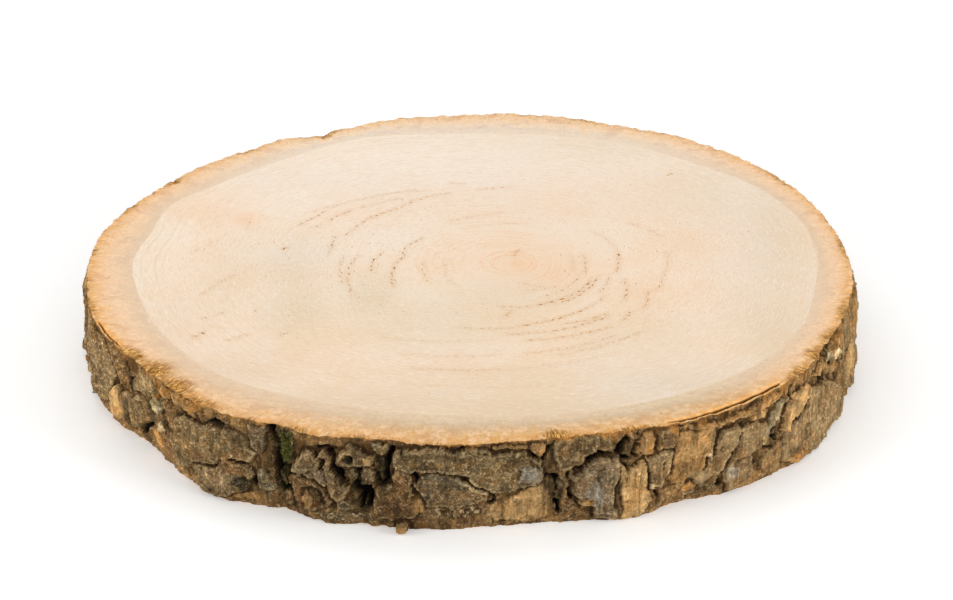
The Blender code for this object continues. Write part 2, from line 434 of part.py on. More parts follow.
def far_side(draw):
    """Plates and cracks of the side that faces away: strips up the trunk, cracked across."""
    plates = []
    cracks = []
    angle, end = FAR_STRETCH
    while angle < end:
        strip = draw.uniform(*FAR_STRIP)
        lean = draw.uniform(-FAR_LEAN, FAR_LEAN)
        top = draw.uniform(*FAR_CRACK_TOP)
        foot = draw.uniform(*FAR_CRACK_FOOT)
        bend = draw.uniform(-FAR_BEND, FAR_BEND)
        course = [(angle, top), (angle + bend, (top + foot) / 2), (angle + lean, foot)]
        cracks.append((course, draw.uniform(*FAR_CRACK_HALF_WIDTH), draw.uniform(*FAR_CRACK_DEPTH)))
        break_at = draw.uniform(*FAR_BREAK)
        for low, high in ((0.0, break_at), (break_at, THICKNESS)):
            middle = angle + strip / 2 + lean * (1 - (low + high) / THICKNESS / 2)
            half_width = strip * REACH_OF_A_DEGREE * draw.uniform(*FAR_WIDTH_SHARE)
            half_height = (high - low) * draw.uniform(*FAR_HEIGHT_SHARE)
            outline = ragged_ring(draw, middle, (low + high) / 2, half_width, half_height, 13)
            plates.append((draw.uniform(*FAR_OUT), outline))
            if draw.random() < UPPER_CHANCE:
                size = draw.uniform(*UPPER_SIZE)
                place = (middle + draw.uniform(-UPPER_SHIFT, UPPER_SHIFT), draw.uniform(low, high))
                outline = ragged_ring(draw, *place, size, size * draw.uniform(0.6, 1.4), 9)
                plates.append((plates[-1][0] + draw.uniform(*UPPER_OUT), outline))
        angle += strip
    return plates, cracks


def inside_outline(x, y, outline):
    """How far inside a closed outline each place lies, in metres, and less than 0 outside it."""
    nearest = np.full(len(x), np.inf)
    inside = np.zeros(len(x), bool)
    for (x0, y0), (x1, y1) in zip(outline, outline[1:] + outline[:1]):
        run, climb = x1 - x0, y1 - y0
        t = np.clip(((x - x0) * run + (y - y0) * climb) / (run * run + climb * climb), 0, 1)
        nearest = np.minimum(nearest, np.hypot(x - x0 - t * run, y - y0 - t * climb))
        if climb:
            inside ^= ((y0 > y) != (y1 > y)) & (x < x0 + run * (y - y0) / climb)
    return np.where(inside, nearest, -nearest)


def near_outline(angles, heights, outline, margin):
    """The places close to an outline, and both of them in metres from the outline's first angle."""
    first = outline[0][0]
    flat = [((angle - first) * REACH_OF_A_DEGREE, height) for angle, height in outline]
    across = (np.mod(angles - first + 180, 360) - 180) * REACH_OF_A_DEGREE
    xs, ys = zip(*flat)
    near = (across > min(xs) - margin) & (across < max(xs) + margin)
    near &= (heights > min(ys) - margin) & (heights < max(ys) + margin)
    spots = np.flatnonzero(near)
    return spots, across[spots], heights[spots], flat


def plate_relief(angles, heights, plates):
    """Lays the plates over each other, and gives how far out each place then is."""
    out = np.full(len(angles), BED)
    for rise, outline in plates:
        spots, x, y, flat = near_outline(angles, heights, outline, EDGE_WIDTH)
        inside = inside_outline(x, y, flat)
        cliff = smooth(inside, -EDGE_WIDTH / 2, EDGE_WIDTH / 2)
        out[spots] = out[spots] * (1 - cliff) + rise * cliff
    return out


def crack_relief(angles, heights, cracks):
    """How deep the deepest crack at each place goes."""
    deepest = np.zeros(len(angles))
    for course, half_width, depth in cracks:
        wide = max(half_width, CRACK_LEAST_HALF_WIDTH)
        for start, stop in zip(course, course[1:]):
            spots, x, y, flat = near_outline(angles, heights, [start, stop], 2 * wide)
            run = flat[1][0]
            climb = flat[1][1] - flat[0][1]
            t = np.clip((x * run + (y - flat[0][1]) * climb) / (run * run + climb * climb), 0, 1)
            gap = np.hypot(x - run * t, y - flat[0][1] - climb * t)
            cut = CRACK_DEPTH_SHARE * depth * (1 - smooth(gap, wide * 0.3, wide * 1.3))
            deepest[spots] = np.maximum(deepest[spots], cut)
    return deepest


def rim_radius(angles):
    """The rim's edge, frayed a little where the saw tore the inner bark."""
    turns = np.radians(angles)
    ways = np.stack([np.cos(turns), np.sin(turns), np.zeros(len(turns))], -1)
    return on_closed_curve(RIM, angles) + RIM_FRAY * noise_at(ways, FRAY_TIMES)


def side_radius(angles, heights):
    """The bark's outer side: the trunk's form, then swells, plates and cracks, then the chipped foot."""
    turns = np.radians(angles)
    radius = on_closed_curve(RIM, angles)
    places = np.stack([radius * np.cos(turns), radius * np.sin(turns), heights], -1)
    ragged_angles = angles + RAGGEDNESS / REACH_OF_A_DEGREE * noise_at(places, RAGGED_TIMES)
    ragged_heights = heights + RAGGEDNESS * noise_at(places, RAGGED_TIMES, RAGGED_APART)
    far_plates, far_cracks = far_side(random.Random(FAR_SEED))
    plates = plate_relief(ragged_angles, ragged_heights, far_plates + PLATES)
    cracks = crack_relief(ragged_angles, ragged_heights, CRACKS + far_cracks)
    relief = SWELL * noise_at(places, SWELL_TIMES) + plates - cracks
    below_rim = smooth(THICKNESS - heights, 0, RIM_BAND)
    chip = FOOT_CHIP * (1 - smooth(heights, 0, FOOT_BAND)) * (1 + noise_at(places, CHIP_TIMES))
    inset = on_closed_curve(FOOT_INSET, angles) * (1 - heights / THICKNESS)
    return rim_radius(angles) - inset + relief * below_rim - chip


def sections():
    """Radius and height of each row of the ring's section, at every step round it."""
    steps = 360 * np.arange(AROUND) / AROUND
    levels = THICKNESS * np.arange(SIDE_ROWS) / (SIDE_ROWS - 1)
    radii = side_radius(np.repeat(steps, SIDE_ROWS), np.tile(levels, AROUND))
    radii = radii.reshape(AROUND, SIDE_ROWS)
    made = []
    for side, inner in zip(radii, on_closed_curve(WOOD_EDGE, steps) + WOOD_TO_BARK_GAP):
        foot, rim = side[0], side[-1]
        over = [(rim + (inner - rim) * step / RIM_ROWS, THICKNESS) for step in range(1, RIM_ROWS + 1)]
        under = [(inner + (foot - inner) * step / RIM_ROWS, 0.0) for step in range(RIM_ROWS)]
        made.append(list(zip(side, levels)) + over + under)
    return made


def material(name, colour, roughness):
    made = bpy.data.materials.new(name)
    made.use_nodes = True
    shader = made.node_tree.nodes["Principled BSDF"]
    shader.inputs["Base Color"].default_value = (*colour, 1)
    shader.inputs["Roughness"].default_value = roughness
    shader.inputs["Metallic"].default_value = 0
    return made


def make_bark(collection):
    """A torus primitive, whose every section becomes the bark's own."""
    major = 1.0
    minor = 0.25
    bpy.ops.mesh.primitive_torus_add(
        major_segments=AROUND,
        minor_segments=SECTION,
        major_radius=major,
        minor_radius=minor,
    )
    bark = bpy.context.object
    bark.name = "bark"
    rows = sections()
    for vertex in bark.data.vertices:
        turn = math.atan2(vertex.co.y, vertex.co.x)
        lift = math.atan2(vertex.co.z, math.hypot(vertex.co.x, vertex.co.y) - major)
        step = round(turn / math.tau * AROUND) % AROUND
        row = round(lift / math.tau * SECTION) % SECTION
        radius, height = rows[step][row]
        vertex.co.x = radius * math.cos(turn)
        vertex.co.y = radius * math.sin(turn)
        vertex.co.z = height
    for holder in list(bark.users_collection):
        holder.objects.unlink(bark)
    collection.objects.link(bark)
    bark.data.materials.append(material("bark", BARK_BROWN, BARK_ROUGHNESS))
    bark.data.shade_smooth()
    bark.data.set_sharp_from_angle(angle=math.radians(40))
    return bark


def make_wood(collection):
    """A flat outline, extruded half the thickness each way."""
    outline = bpy.data.curves.new("wood", "CURVE")
    outline.dimensions = "2D"
    outline.fill_mode = "BOTH"
    outline.extrude = THICKNESS / 2
    spline = outline.splines.new("POLY")
    spline.points.add(AROUND - 1)
    angles = 360 * np.arange(AROUND) / AROUND
    for point, angle, radius in zip(spline.points, angles, on_closed_curve(WOOD_EDGE, angles)):
        turn = math.radians(angle)
        point.co = (radius * math.cos(turn), radius * math.sin(turn), 0, 1)
    spline.use_cyclic_u = True
    wood = bpy.data.objects.new("wood", outline)
    wood.location.z = THICKNESS / 2
    outline.materials.append(material("wood", WOOD_CREAM, WOOD_ROUGHNESS))
    collection.objects.link(wood)
    return wood


def centre(bark, wood):
    """Moves both so that the middle of the whole outline is over the origin."""
    across = [vertex.co.x for vertex in bark.data.vertices]
    deep = [vertex.co.y for vertex in bark.data.vertices]
    for made in (bark, wood):
        made.location.x = -(min(across) + max(across)) / 2
        made.location.y = -(min(deep) + max(deep)) / 2


def main():
    for old in list(bpy.data.objects):
        bpy.data.objects.remove(old, do_unlink=True)
    collection = bpy.data.collections.new("wood_slice")
    bpy.context.scene.collection.children.link(collection)
    centre(make_bark(collection), make_wood(collection))


main()
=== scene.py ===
import math
import random

import bpy
import numpy as np
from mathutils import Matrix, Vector, geometry, noise


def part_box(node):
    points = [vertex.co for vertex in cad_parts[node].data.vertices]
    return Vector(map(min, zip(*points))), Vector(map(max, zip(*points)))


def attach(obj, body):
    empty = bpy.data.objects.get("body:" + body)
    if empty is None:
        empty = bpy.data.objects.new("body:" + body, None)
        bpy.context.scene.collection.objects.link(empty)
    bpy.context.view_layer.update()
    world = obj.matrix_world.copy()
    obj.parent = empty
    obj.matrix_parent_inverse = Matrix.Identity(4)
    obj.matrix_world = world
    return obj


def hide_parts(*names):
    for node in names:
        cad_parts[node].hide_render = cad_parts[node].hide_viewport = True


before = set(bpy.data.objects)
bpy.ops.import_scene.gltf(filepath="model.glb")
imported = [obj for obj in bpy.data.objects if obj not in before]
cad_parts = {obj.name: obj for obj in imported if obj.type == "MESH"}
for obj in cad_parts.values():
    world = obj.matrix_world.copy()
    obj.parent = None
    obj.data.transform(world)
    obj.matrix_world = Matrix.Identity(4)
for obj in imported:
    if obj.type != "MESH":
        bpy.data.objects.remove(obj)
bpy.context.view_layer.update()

# The sawn wood
# A disc sawn straight across a trunk: pale end grain with off-centre growth rings, small torn pores
# and soft stains, with painted sheen at the back and painted shade at the front. It is one grown
# piece, cut on both faces and left dry and unsanded.
wood_low, wood_high = (np.array(corner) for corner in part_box("wood"))
THICKNESS = float(wood_high[2] - wood_low[2])
# The line between wood and bark, as (angle in degrees, radius). 0 is at +X, and 270 faces front.
WOOD_EDGE = [
    (4, 0.1315), (20, 0.1332), (34, 0.1320), (44, 0.1290), (64, 0.1274), (77, 0.1238),
    (92, 0.1220), (112, 0.1253), (122, 0.1224), (137, 0.1210), (147, 0.1230), (156, 0.1270),
    (168, 0.1243), (180, 0.1262), (192, 0.1248), (212, 0.1257), (226, 0.1273), (244, 0.1245),
    (264, 0.1233), (284, 0.1260), (300, 0.1292), (320, 0.1323), (334, 0.1322), (350, 0.1300),
]
PITH = np.array([0.0192, -0.0020])
# The rings leave the pith off-centre and even out towards the bark at this power.
RING_EVENING = 3.0
RING_COUNT = 47


def on_closed_curve(points, angles):
    """Values at angles in degrees, on a smooth closed curve through (angle, value) points."""
    wide = [(a - 360, v) for a, v in points[-2:]] + points + [(a + 360, v) for a, v in points[:2]]
    at = np.array([a for a, _ in wide], float)
    value = np.array([v for _, v in wide], float)
    slope = np.gradient(value, at)
    turned = np.mod(np.asarray(angles, float), 360)
    index = np.searchsorted(at, turned, side="right") - 1
    span = at[index + 1] - at[index]
    t = (turned - at[index]) / span
    start = value[index] * (1 + 2 * t) + slope[index] * span * t
    end = value[index + 1] * (3 - 2 * t) - slope[index + 1] * span * (1 - t)
    return start * (1 - t) ** 2 + end * t * t


def round_the_edge(points, angles):
    """Flat places on a closed curve, in the curve's own centre."""
    turn = np.radians(angles)
    radius = on_closed_curve(points, angles)
    return np.stack([radius * np.cos(turn), radius * np.sin(turn)], -1)


every_degree = np.arange(0, 360, 0.25)
TRUNK_CENTRE = wood_low[:2] - round_the_edge(WOOD_EDGE, every_degree).min(0)


def ring_place(share, turn):
    """The place on the ring that is this share of the way out, in a direction from its centre."""
    centre = PITH * (1 - share[..., None]) ** RING_EVENING
    reach = share * on_closed_curve(WOOD_EDGE, np.degrees(turn))
    return centre + reach[..., None] * np.stack([np.cos(turn), np.sin(turn)], -1)


def ring_share(places):
    """Which ring a place is on, from 0 at the pith to 1 at the bark, and its direction."""
    share = np.full(len(places), 0.5)
    for _ in range(24):
        offset = places - PITH * (1 - np.clip(share, 0, 1)[:, None]) ** RING_EVENING
        turn = np.arctan2(offset[:, 1], offset[:, 0])
        share = np.hypot(offset[:, 0], offset[:, 1]) / on_closed_curve(WOOD_EDGE, np.degrees(turn))
    return share, turn


# Rows of torn pores that follow the rings: from x, y to x, y in mm, how many, and their size in mm.
PORE_ROWS = [
    (20, -19, 27, -22, 5, 0.5), (22, -25, 32, -22, 6, 0.5), (28, -30, 41, -13, 12, 0.7),
    (26, -37, 45, -17, 19, 1.3), (33, -36, 48, -14, 15, 0.9), (12, -39, 22, -39, 5, 0.7),
    (20, -54, 42, -41, 17, 1.3), (42, -41, 50, -30, 6, 0.7), (34, -53, 50, -45, 9, 0.9),
    (15, -61, 35, -57, 11, 0.9), (35, -57, 50, -47, 9, 1.0), (22, -66, 50, -56, 16, 0.9),
    (22, -76, 52, -63, 15, 0.7), (33, -77, 60, -61, 14, 0.6), (55, -9, 56, 9, 9, 1.1),
    (56, 10, 47, 27, 8, 0.5), (58, -16, 57, -34, 5, 0.9), (66, -26, 64, -40, 7, 0.8),
    (56, -50, 59, -43, 3, 0.8), (70, -24, 75, 6, 8, 0.6), (48, -27, 52, -12, 6, 0.6),
    (43, -10, 43, 6, 7, 0.6), (39, -8, 38, 6, 6, 0.4),
    (-28, -21, -25, 3, 13, 1.1), (-25, 4, -18, 20, 9, 0.9), (-36, -9, -33, 8, 6, 0.9),
    (-43, -28, -42, 4, 13, 0.8), (-47, -18, -47, 4, 8, 0.6), (-15, -18, -17, -2, 7, 0.6),
    (-5, -20, -8, 0, 6, 0.5), (-53, 6, -51, 22, 6, 0.8), (-47, 23, -38, 40, 9, 0.9),
    (-38, 39, -28, 48, 9, 1.3), (-54, 38, -46, 46, 8, 1.0), (-65, 33, -56, 45, 8, 0.8),
    (-58, 47, -20, 65, 18, 0.6), (-42, 49, -28, 57, 8, 0.6), (-27, 49, -9, 62, 9, 0.9),
    (4, 66, 17, 69, 4, 0.9), (-8, 72, -2, 72, 2, 0.7), (17, 4, 19, 10, 4, 0.9),
    (-18, -88, 11, -89, 26, 0.5), (12, -89, 50, -77, 18, 0.4), (-22, -77, 9, -78, 12, 0.5),
    (-3, -56, 17, -56, 9, 0.6), (13, -47, 16, -42, 3, 0.8), (-30, -64, 6, -66, 7, 0.5),
    (-99, -64, -95, -60, 3, 1.1), (-98, -28, -88, -13, 5, 0.6), (-96, -48, -88, -43, 4, 0.6),
    (-86, -66, -80, -62, 2, 0.8), (-67, -62, -65, -60, 2, 1.0), (-78, -43, -77, -41, 1, 0.8),
    (-70, 11, -68, 12, 1, 1.2), (-53, 13, -51, 15, 2, 1.1), (79, 80, 81, 82, 2, 0.9),
    (-60, 30, -57, 33, 2, 0.8), (-8, 35, 12, 44, 6, 0.5), (-2, 30, 22, 34, 6, 0.4),
    (62, 34, 74, 22, 5, 0.5), (-104, 8, -96, 20, 3, 0.4), (-20, -100, 24, -101, 8, 0.35),
]
# How a pore's drawn size becomes its hollow, and how many fine ones lie scattered between the rows.
PORE_WIDTH_SHARE = 0.36
PORE_DEPTH = 0.00035
PORE_SIDES = 8
FINE_PORES_TOP = 420
FINE_PORES_BELOW = 900
PORE_CLEARANCE = 0.0002
# How far the grain beside a row of pores is torn out with them.
TORN_REACH = 0.0012
FACE_ROWS = 104
FACE_STEP = 0.00165
SAW_DIP = 0.00010
FACE_RADIUS = 0.127
FINE_PORE = 0.0004
PORE_SEED = 5


def linear(red, green, blue):
    """A colour as a screen shows it, from 0 to 255, as a shader's own linear values."""
    shown = np.array([red, green, blue]) / 255
    value = np.where(shown <= 0.04045, shown / 12.92, ((shown + 0.055) / 1.055) ** 2.4)
    return (*value.tolist(), 1.0)


# Soft stains, with painted sheen that makes the back paler and painted shade that makes the front darker:
# colour, how much of it, and its places: x, y, half width, half height in mm, strength.
STAINS = {
    # Painted sheen: paler towards the back of the face.
    "painted_back_sheen": (linear(251, 236, 219), 0.9, [
        (-10, 96, 80, 26, 0.9), (-76, 62, 40, 30, 0.5), (64, 96, 50, 22, 0.6), (-110, 20, 10, 40, 0.4),
    ]),
    "lilac": (linear(236, 222, 212), 0.8, [
        (0, 70, 70, 26, 0.4), (-62, 4, 16, 18, 0.45), (104, 16, 14, 44, 0.55), (-34, 26, 22, 16, 0.3),
        (72, -100, 24, 12, 0.8), (20, 44, 24, 14, 0.3), (-74, 76, 26, 16, 0.35),
    ]),
    "peach": (linear(244, 196, 152), 0.75, [
        (20, -3, 7, 7, 0.9), (27, -4, 26, 20, 0.50), (-86, 38, 5, 6, 0.9), (-102, 46, 18, 14, 0.45),
        (62, -26, 14, 18, 0.35), (60, 54, 26, 30, 0.25), (-100, -62, 14, 14, 0.30),
        (-30, -92, 40, 14, 0.20), (38, -58, 20, 14, 0.25), (-40, 40, 16, 12, 0.20), (86, -10, 16, 40, 0.20),
    ]),
    # Painted shade: darker and warmer along the front of the face.
    "painted_front_shade": (linear(222, 194, 160), 0.9, [
        (-40, -116, 46, 12, 0.75), (20, -121, 50, 11, 0.8), (-84, -92, 20, 14, 0.55), (78, -98, 22, 14, 0.4),
        (-108, -56, 12, 30, 0.3), (112, -64, 12, 30, 0.35), (0, -96, 60, 16, 0.25),
    ]),
    "green_grey": (linear(213, 196, 164), 0.9, [
        (-62, -42, 12, 22, 0.55), (-66, -8, 11, 26, 0.40), (-36, -32, 10, 17, 0.60), (-12, -50, 34, 20, 0.42),
        (10, -32, 24, 14, 0.38), (110, -62, 16, 38, 0.35), (118, 20, 12, 60, 0.40), (60, 108, 50, 16, 0.25),
        (-86, -12, 12, 30, 0.25), (40, -104, 60, 16, 0.30), (92, 70, 20, 34, 0.25), (60, -62, 22, 20, 0.30),
    ]),
}


def stain_at(places, stains):
    """How strongly any of these soft stains shows at each place."""
    seen = np.zeros(len(places))
    for x, y, half_width, half_height, strength in stains:
        across = (places[:, 0] * 1000 - x) / half_width
        along = (places[:, 1] * 1000 - y) / half_height
        seen = np.maximum(seen, strength * np.exp(-(across ** 2 + along ** 2) / 1.6))
    return seen


def torn_grain(places):
    """How torn the grain is at each place: most beside the rows of big pores."""
    torn = np.zeros(len(places))
    for x0, y0, x1, y1, count, size in PORE_ROWS:
        share, turn = ring_share(np.array([[x0, y0], [x1, y1]]) / 1000)
        sweep = (turn[1] - turn[0] + math.pi) % math.tau - math.pi
        along = np.linspace(-0.05, 1.05, 4 * count + 4)
        row = ring_place(share[0] + (share[1] - share[0]) * along, turn[0] + sweep * along)
        for spot in row:
            near = np.exp(-((places - spot) ** 2).sum(1) / TORN_REACH ** 2)
            torn = np.maximum(torn, min(1.0, 0.2 + size * 0.6) * near)
    return torn


def drawn_pores(draw):
    """Pores on the rows that show on the top face: place, direction along the ring, and size."""
    pores = []
    for x0, y0, x1, y1, count, size in PORE_ROWS:
        ends = np.array([[x0, y0], [x1, y1]]) / 1000
        share, turn = ring_share(ends)
        sweep = (turn[1] - turn[0] + math.pi) % math.tau - math.pi
        for number in range(count):
            along = (number + draw.uniform(0.1, 0.9)) / count
            ring = share[0] + (share[1] - share[0]) * along + draw.gauss(0, 0.0022)
            pores.append((ring, turn[0] + sweep * along, size / 1000 * draw.uniform(0.55, 1.25)))
    return pores


def scattered_pores(draw, count):
    """Fine pores anywhere, most of them in the middle growth."""
    pores = []
    for _ in range(count):
        ring = round(draw.triangular(0.08, 0.96, 0.42) * RING_COUNT) / RING_COUNT
        size = FINE_PORE * draw.uniform(0.6, 1.6)
        pores.append((ring + draw.gauss(0, 0.002), draw.uniform(0, math.tau), size))
    return pores


def pore_outlines(pores, draw):
    """A ragged loop round each pore, longer along its ring, leaving out any that crowd another."""
    loops = []
    kept = np.empty((0, 3))
    for ring, turn, size in pores:
        share = np.array([ring])
        here = ring_place(share, np.array([turn]))[0]
        ahead = ring_place(share, np.array([turn + 0.01]))[0] - here
        ahead /= np.linalg.norm(ahead)
        side = np.array([-ahead[1], ahead[0]])
        apart = kept[:, :2] - here
        room = 1.2 * (kept[:, 2] + size) + PORE_CLEARANCE
        narrow = 1.5 * PORE_WIDTH_SHARE * (kept[:, 2] + size) + PORE_CLEARANCE
        if np.any((np.abs(apart @ ahead) < room) & (np.abs(apart @ side) < narrow)):
            continue
        kept = np.vstack([kept, [here[0], here[1], size]])
        loop = []
        for corner in range(PORE_SIDES):
            angle = math.tau * corner / PORE_SIDES
            wide = size * draw.uniform(0.7, 1.15)
            along = ahead * wide * math.cos(angle)
            loop.append(here + along + side * wide * PORE_WIDTH_SHARE * math.sin(angle))
        loops.append((here, np.array(loop)))
    return loops


def sawn_face(level, inward, pores, draw):
    """One cut face: places, triangles and the depth share of each pore. inward is +1 or -1 in Z."""
    outline = round_the_edge(WOOD_EDGE, np.arange(0, 360, 0.5))
    grid = [PITH[None, :]]
    for row in range(1, FACE_ROWS):
        share = row / FACE_ROWS
        count = max(8, round(math.tau * share * FACE_RADIUS / FACE_STEP))
        turns = math.tau * (np.arange(count) + 0.5 * (row % 2)) / count
        grid.append(ring_place(np.full(count, share), turns))
    grid = np.vstack(grid)
    loops = pore_outlines(pores, draw)
    centres = np.array([here for here, _ in loops])
    reach = np.array([np.abs(loop - here).max() * 1.5 for here, loop in loops])
    clear = np.ones(len(grid), bool)
    for here, room in zip(centres, reach):
        clear &= np.hypot(grid[:, 0] - here[0], grid[:, 1] - here[1]) > room
    grid = grid[clear]
    points = [Vector(p) for p in outline] + [Vector(p) for p in grid]
    shapes = [list(range(len(outline)))]
    for _, loop in loops:
        shapes.append(list(range(len(points), len(points) + len(loop))))
        points.extend(Vector(p) for p in loop)
    flat, _, faces, sources, _, owners = geometry.delaunay_2d_cdt(points, [], shapes, 0, 1e-7)
    kept = [list(face) for face, owner in zip(faces, owners) if owner == [0]]
    now_at = {source: place for place, listed in enumerate(sources) for source in listed}
    places = [np.array(p) for p in flat]
    depth = [0.0] * len(flat)
    for (here, loop), shape in zip(loops, shapes[1:]):
        rim = [now_at[corner] for corner in shape]
        floor = len(places)
        for corner in loop:
            places.append(here + (corner - here) * 0.55)
            depth.append(draw.uniform(0.8, 1.0))
        places.append(here)
        depth.append(1.0)
        size = len(loop)
        for corner in range(size):
            after = (corner + 1) % size
            kept.append([rim[corner], rim[after], floor + after, floor + corner])
            kept.append([floor + corner, floor + after, floor + size])
    places = np.array(places)
    depth = np.array(depth)
    dip = [noise.noise(Vector((x * 60, y * 14, level * 90))) for x, y in places]
    height = level + inward * (SAW_DIP * (0.5 + 0.5 * np.array(dip)) + PORE_DEPTH * depth)
    if inward > 0:
        kept = [face[::-1] for face in kept]
    return places, height, kept, depth, len(outline)


def float_layer(mesh, name, values):
    """A value at every corner point of a mesh, which its material reads by name."""
    layer = mesh.attributes.new(name, "FLOAT", "POINT")
    layer.data.foreach_set("value", np.asarray(values, np.float32))


def piece_from(name, places, faces, layers):
    """A mesh object from places and faces, with its named values."""
    mesh = bpy.data.meshes.new(name)
    mesh.from_pydata([tuple(p) for p in places], [], [list(map(int, face)) for face in faces])
    for layer, values in layers.items():
        float_layer(mesh, layer, values)
    made = bpy.data.objects.new(name, mesh)
    bpy.context.scene.collection.objects.link(made)
    return made


def wood_disc():
    """Both cut faces and the hidden side between them, as one closed piece."""
    draw = random.Random(PORE_SEED)
    top = sawn_face(THICKNESS, -1, drawn_pores(draw) + scattered_pores(draw, FINE_PORES_TOP), draw)
    below = sawn_face(0.0, 1, scattered_pores(draw, FINE_PORES_BELOW), draw)
    first = len(top[0])
    flat = np.vstack([top[0], below[0]])
    height = np.concatenate([top[1], below[1]])
    faces = top[2] + [[corner + first for corner in face] for face in below[2]]
    edge = top[4]
    for corner in range(edge):
        after = (corner + 1) % edge
        faces.append([corner, first + corner, first + after, after])
    share, _ = ring_share(flat)
    layers = {
        "ring": share,
        "pore": np.concatenate([top[3], below[3]]),
        "torn": torn_grain(flat) * (height > THICKNESS / 2),
    }
    for stain, (_, _, spots) in STAINS.items():
        layers[stain] = stain_at(flat, spots)
    places = np.column_stack([flat + TRUNK_CENTRE, height])
    return piece_from("sawn_wood", places, faces, layers)


class Wiring:
    """Adds nodes to a tree and links them, so that a material reads as a list of steps."""

    def __init__(self, tree):
        self.tree = tree

    def set(self, node, sockets):
        for key, value in sockets.items():
            socket = node.inputs[key]
            if isinstance(value, bpy.types.NodeSocket):
                self.tree.links.new(value, socket)
            else:
                socket.default_value = value

    def node(self, kind, settings=None, sockets=None):
        made = self.tree.nodes.new(kind)
        for key, value in (settings or {}).items():
            setattr(made, key, value)
        self.set(made, sockets or {})
        return made

    def value_of(self, layer):
        return self.node("ShaderNodeAttribute", {"attribute_name": layer}).outputs["Fac"]

    def math(self, operation, first, second=0.0, clamp=False):
        settings = {"operation": operation, "use_clamp": clamp}
        return self.node("ShaderNodeMath", settings, {0: first, 1: second}).outputs[0]

    def spread(self, value, low, high, bottom=0.0, top=1.0):
        settings = {"interpolation_type": "SMOOTHSTEP"}
        sockets = {"Value": value, "From Min": low, "From Max": high, "To Min": bottom, "To Max": top}
        return self.node("ShaderNodeMapRange", settings, sockets).outputs["Result"]

    def times(self, first, second):
        return self.math("MULTIPLY", first, second)

    def plus(self, first, second):
        return self.math("ADD", first, second)

    def vector(self, operation, sockets):
        return self.node("ShaderNodeVectorMath", {"operation": operation}, sockets).outputs[0]

    def noise(self, sockets, settings=None):
        return self.node("ShaderNodeTexNoise", settings, sockets).outputs["Fac"]

    def place(self):
        return self.node("ShaderNodeTexCoord").outputs["Object"]

    def blend(self, share, first, second):
        settings = {"data_type": "RGBA", "blend_type": "MIX", "clamp_factor": True}
        return self.node("ShaderNodeMix", settings, {0: share, 6: first, 7: second}).outputs[2]

    def ramp(self, value, stops):
        made = self.node("ShaderNodeValToRGB", None, {"Fac": value})
        while len(made.color_ramp.elements) < len(stops):
            made.color_ramp.elements.new(1.0)
        for element, (at, colour) in zip(made.color_ramp.elements, stops):
            element.position, element.color = at, colour
        return made.outputs["Color"]

    def group(self, group, sockets):
        made = self.tree.nodes.new("ShaderNodeGroup")
        made.node_tree = group
        self.set(made, sockets)
        return made.outputs


def new_group(name, inputs, outputs):
    """An empty node group with named sockets, and its two ends."""
    tree = bpy.data.node_groups.new(name, "ShaderNodeTree")
    for socket, kind, start in inputs:
        made = tree.interface.new_socket(socket, in_out="INPUT", socket_type=kind)
        if start is not None:
            made.default_value = start
    for socket, kind in outputs:
        tree.interface.new_socket(socket, in_out="OUTPUT", socket_type=kind)
    start = tree.nodes.new("NodeGroupInput")
    end = tree.nodes.new("NodeGroupOutput")
    return tree, Wiring(tree), start.outputs, end


def make_mottle():
    """Cloudy patches between two limits, with finer breakup in them."""
    tree, wire, given, end = new_group(
        "mottle",
        [
            ("Place", "NodeSocketVector", None), ("Scale", "NodeSocketFloat", 60.0),
            ("Low", "NodeSocketFloat", 0.4), ("High", "NodeSocketFloat", 0.6),
        ],
        [("Mask", "NodeSocketFloat")],
    )
    sockets = {"Vector": given["Place"], "Scale": given["Scale"], "Detail": 6.0, "Roughness": 0.62}
    cloud = wire.noise(sockets)
    mask = wire.spread(cloud, given["Low"], given["High"])
    wire.set(end, {"Mask": mask})
    return tree


def make_growth_rings():
    """Thin lines of late wood, each ring with its own strength, which wavers as it goes round."""
    tree, wire, given, end = new_group(
        "growth_rings",
        [
            ("Ring", "NodeSocketFloat", 0.0), ("Place", "NodeSocketVector", None),
            ("Count", "NodeSocketFloat", 40.0), ("Waver", "NodeSocketFloat", 0.2),
        ],
        [("Line", "NodeSocketFloat"), ("Tone", "NodeSocketFloat")],
    )
    sockets = {"Vector": given["Place"], "Scale": 38.0, "Detail": 2.0}
    sway = wire.noise(sockets)
    swayed = wire.math("MULTIPLY_ADD", given["Ring"], given["Count"])
    push = wire.times(wire.math("SUBTRACT", sway, 0.5), given["Waver"])
    wire.set(swayed.node, {2: push})
    number = wire.math("FLOOR", swayed)
    within = wire.math("FRACT", swayed)
    rise = wire.spread(within, 0.35, 0.86)
    drop = wire.spread(within, 0.90, 0.99)
    line = wire.math("SUBTRACT", rise, drop, clamp=True)
    white = wire.node("ShaderNodeTexWhiteNoise", {"noise_dimensions": "1D"}, {"W": number}).outputs["Value"]
    sockets = {"Vector": given["Place"], "Scale": 22.0, "Detail": 3.0}
    fade = wire.noise(sockets)
    strength = wire.times(wire.spread(white, 0.15, 0.95), wire.spread(fade, 0.38, 0.62))
    wire.set(end, {"Line": wire.times(line, strength), "Tone": white})
    return tree


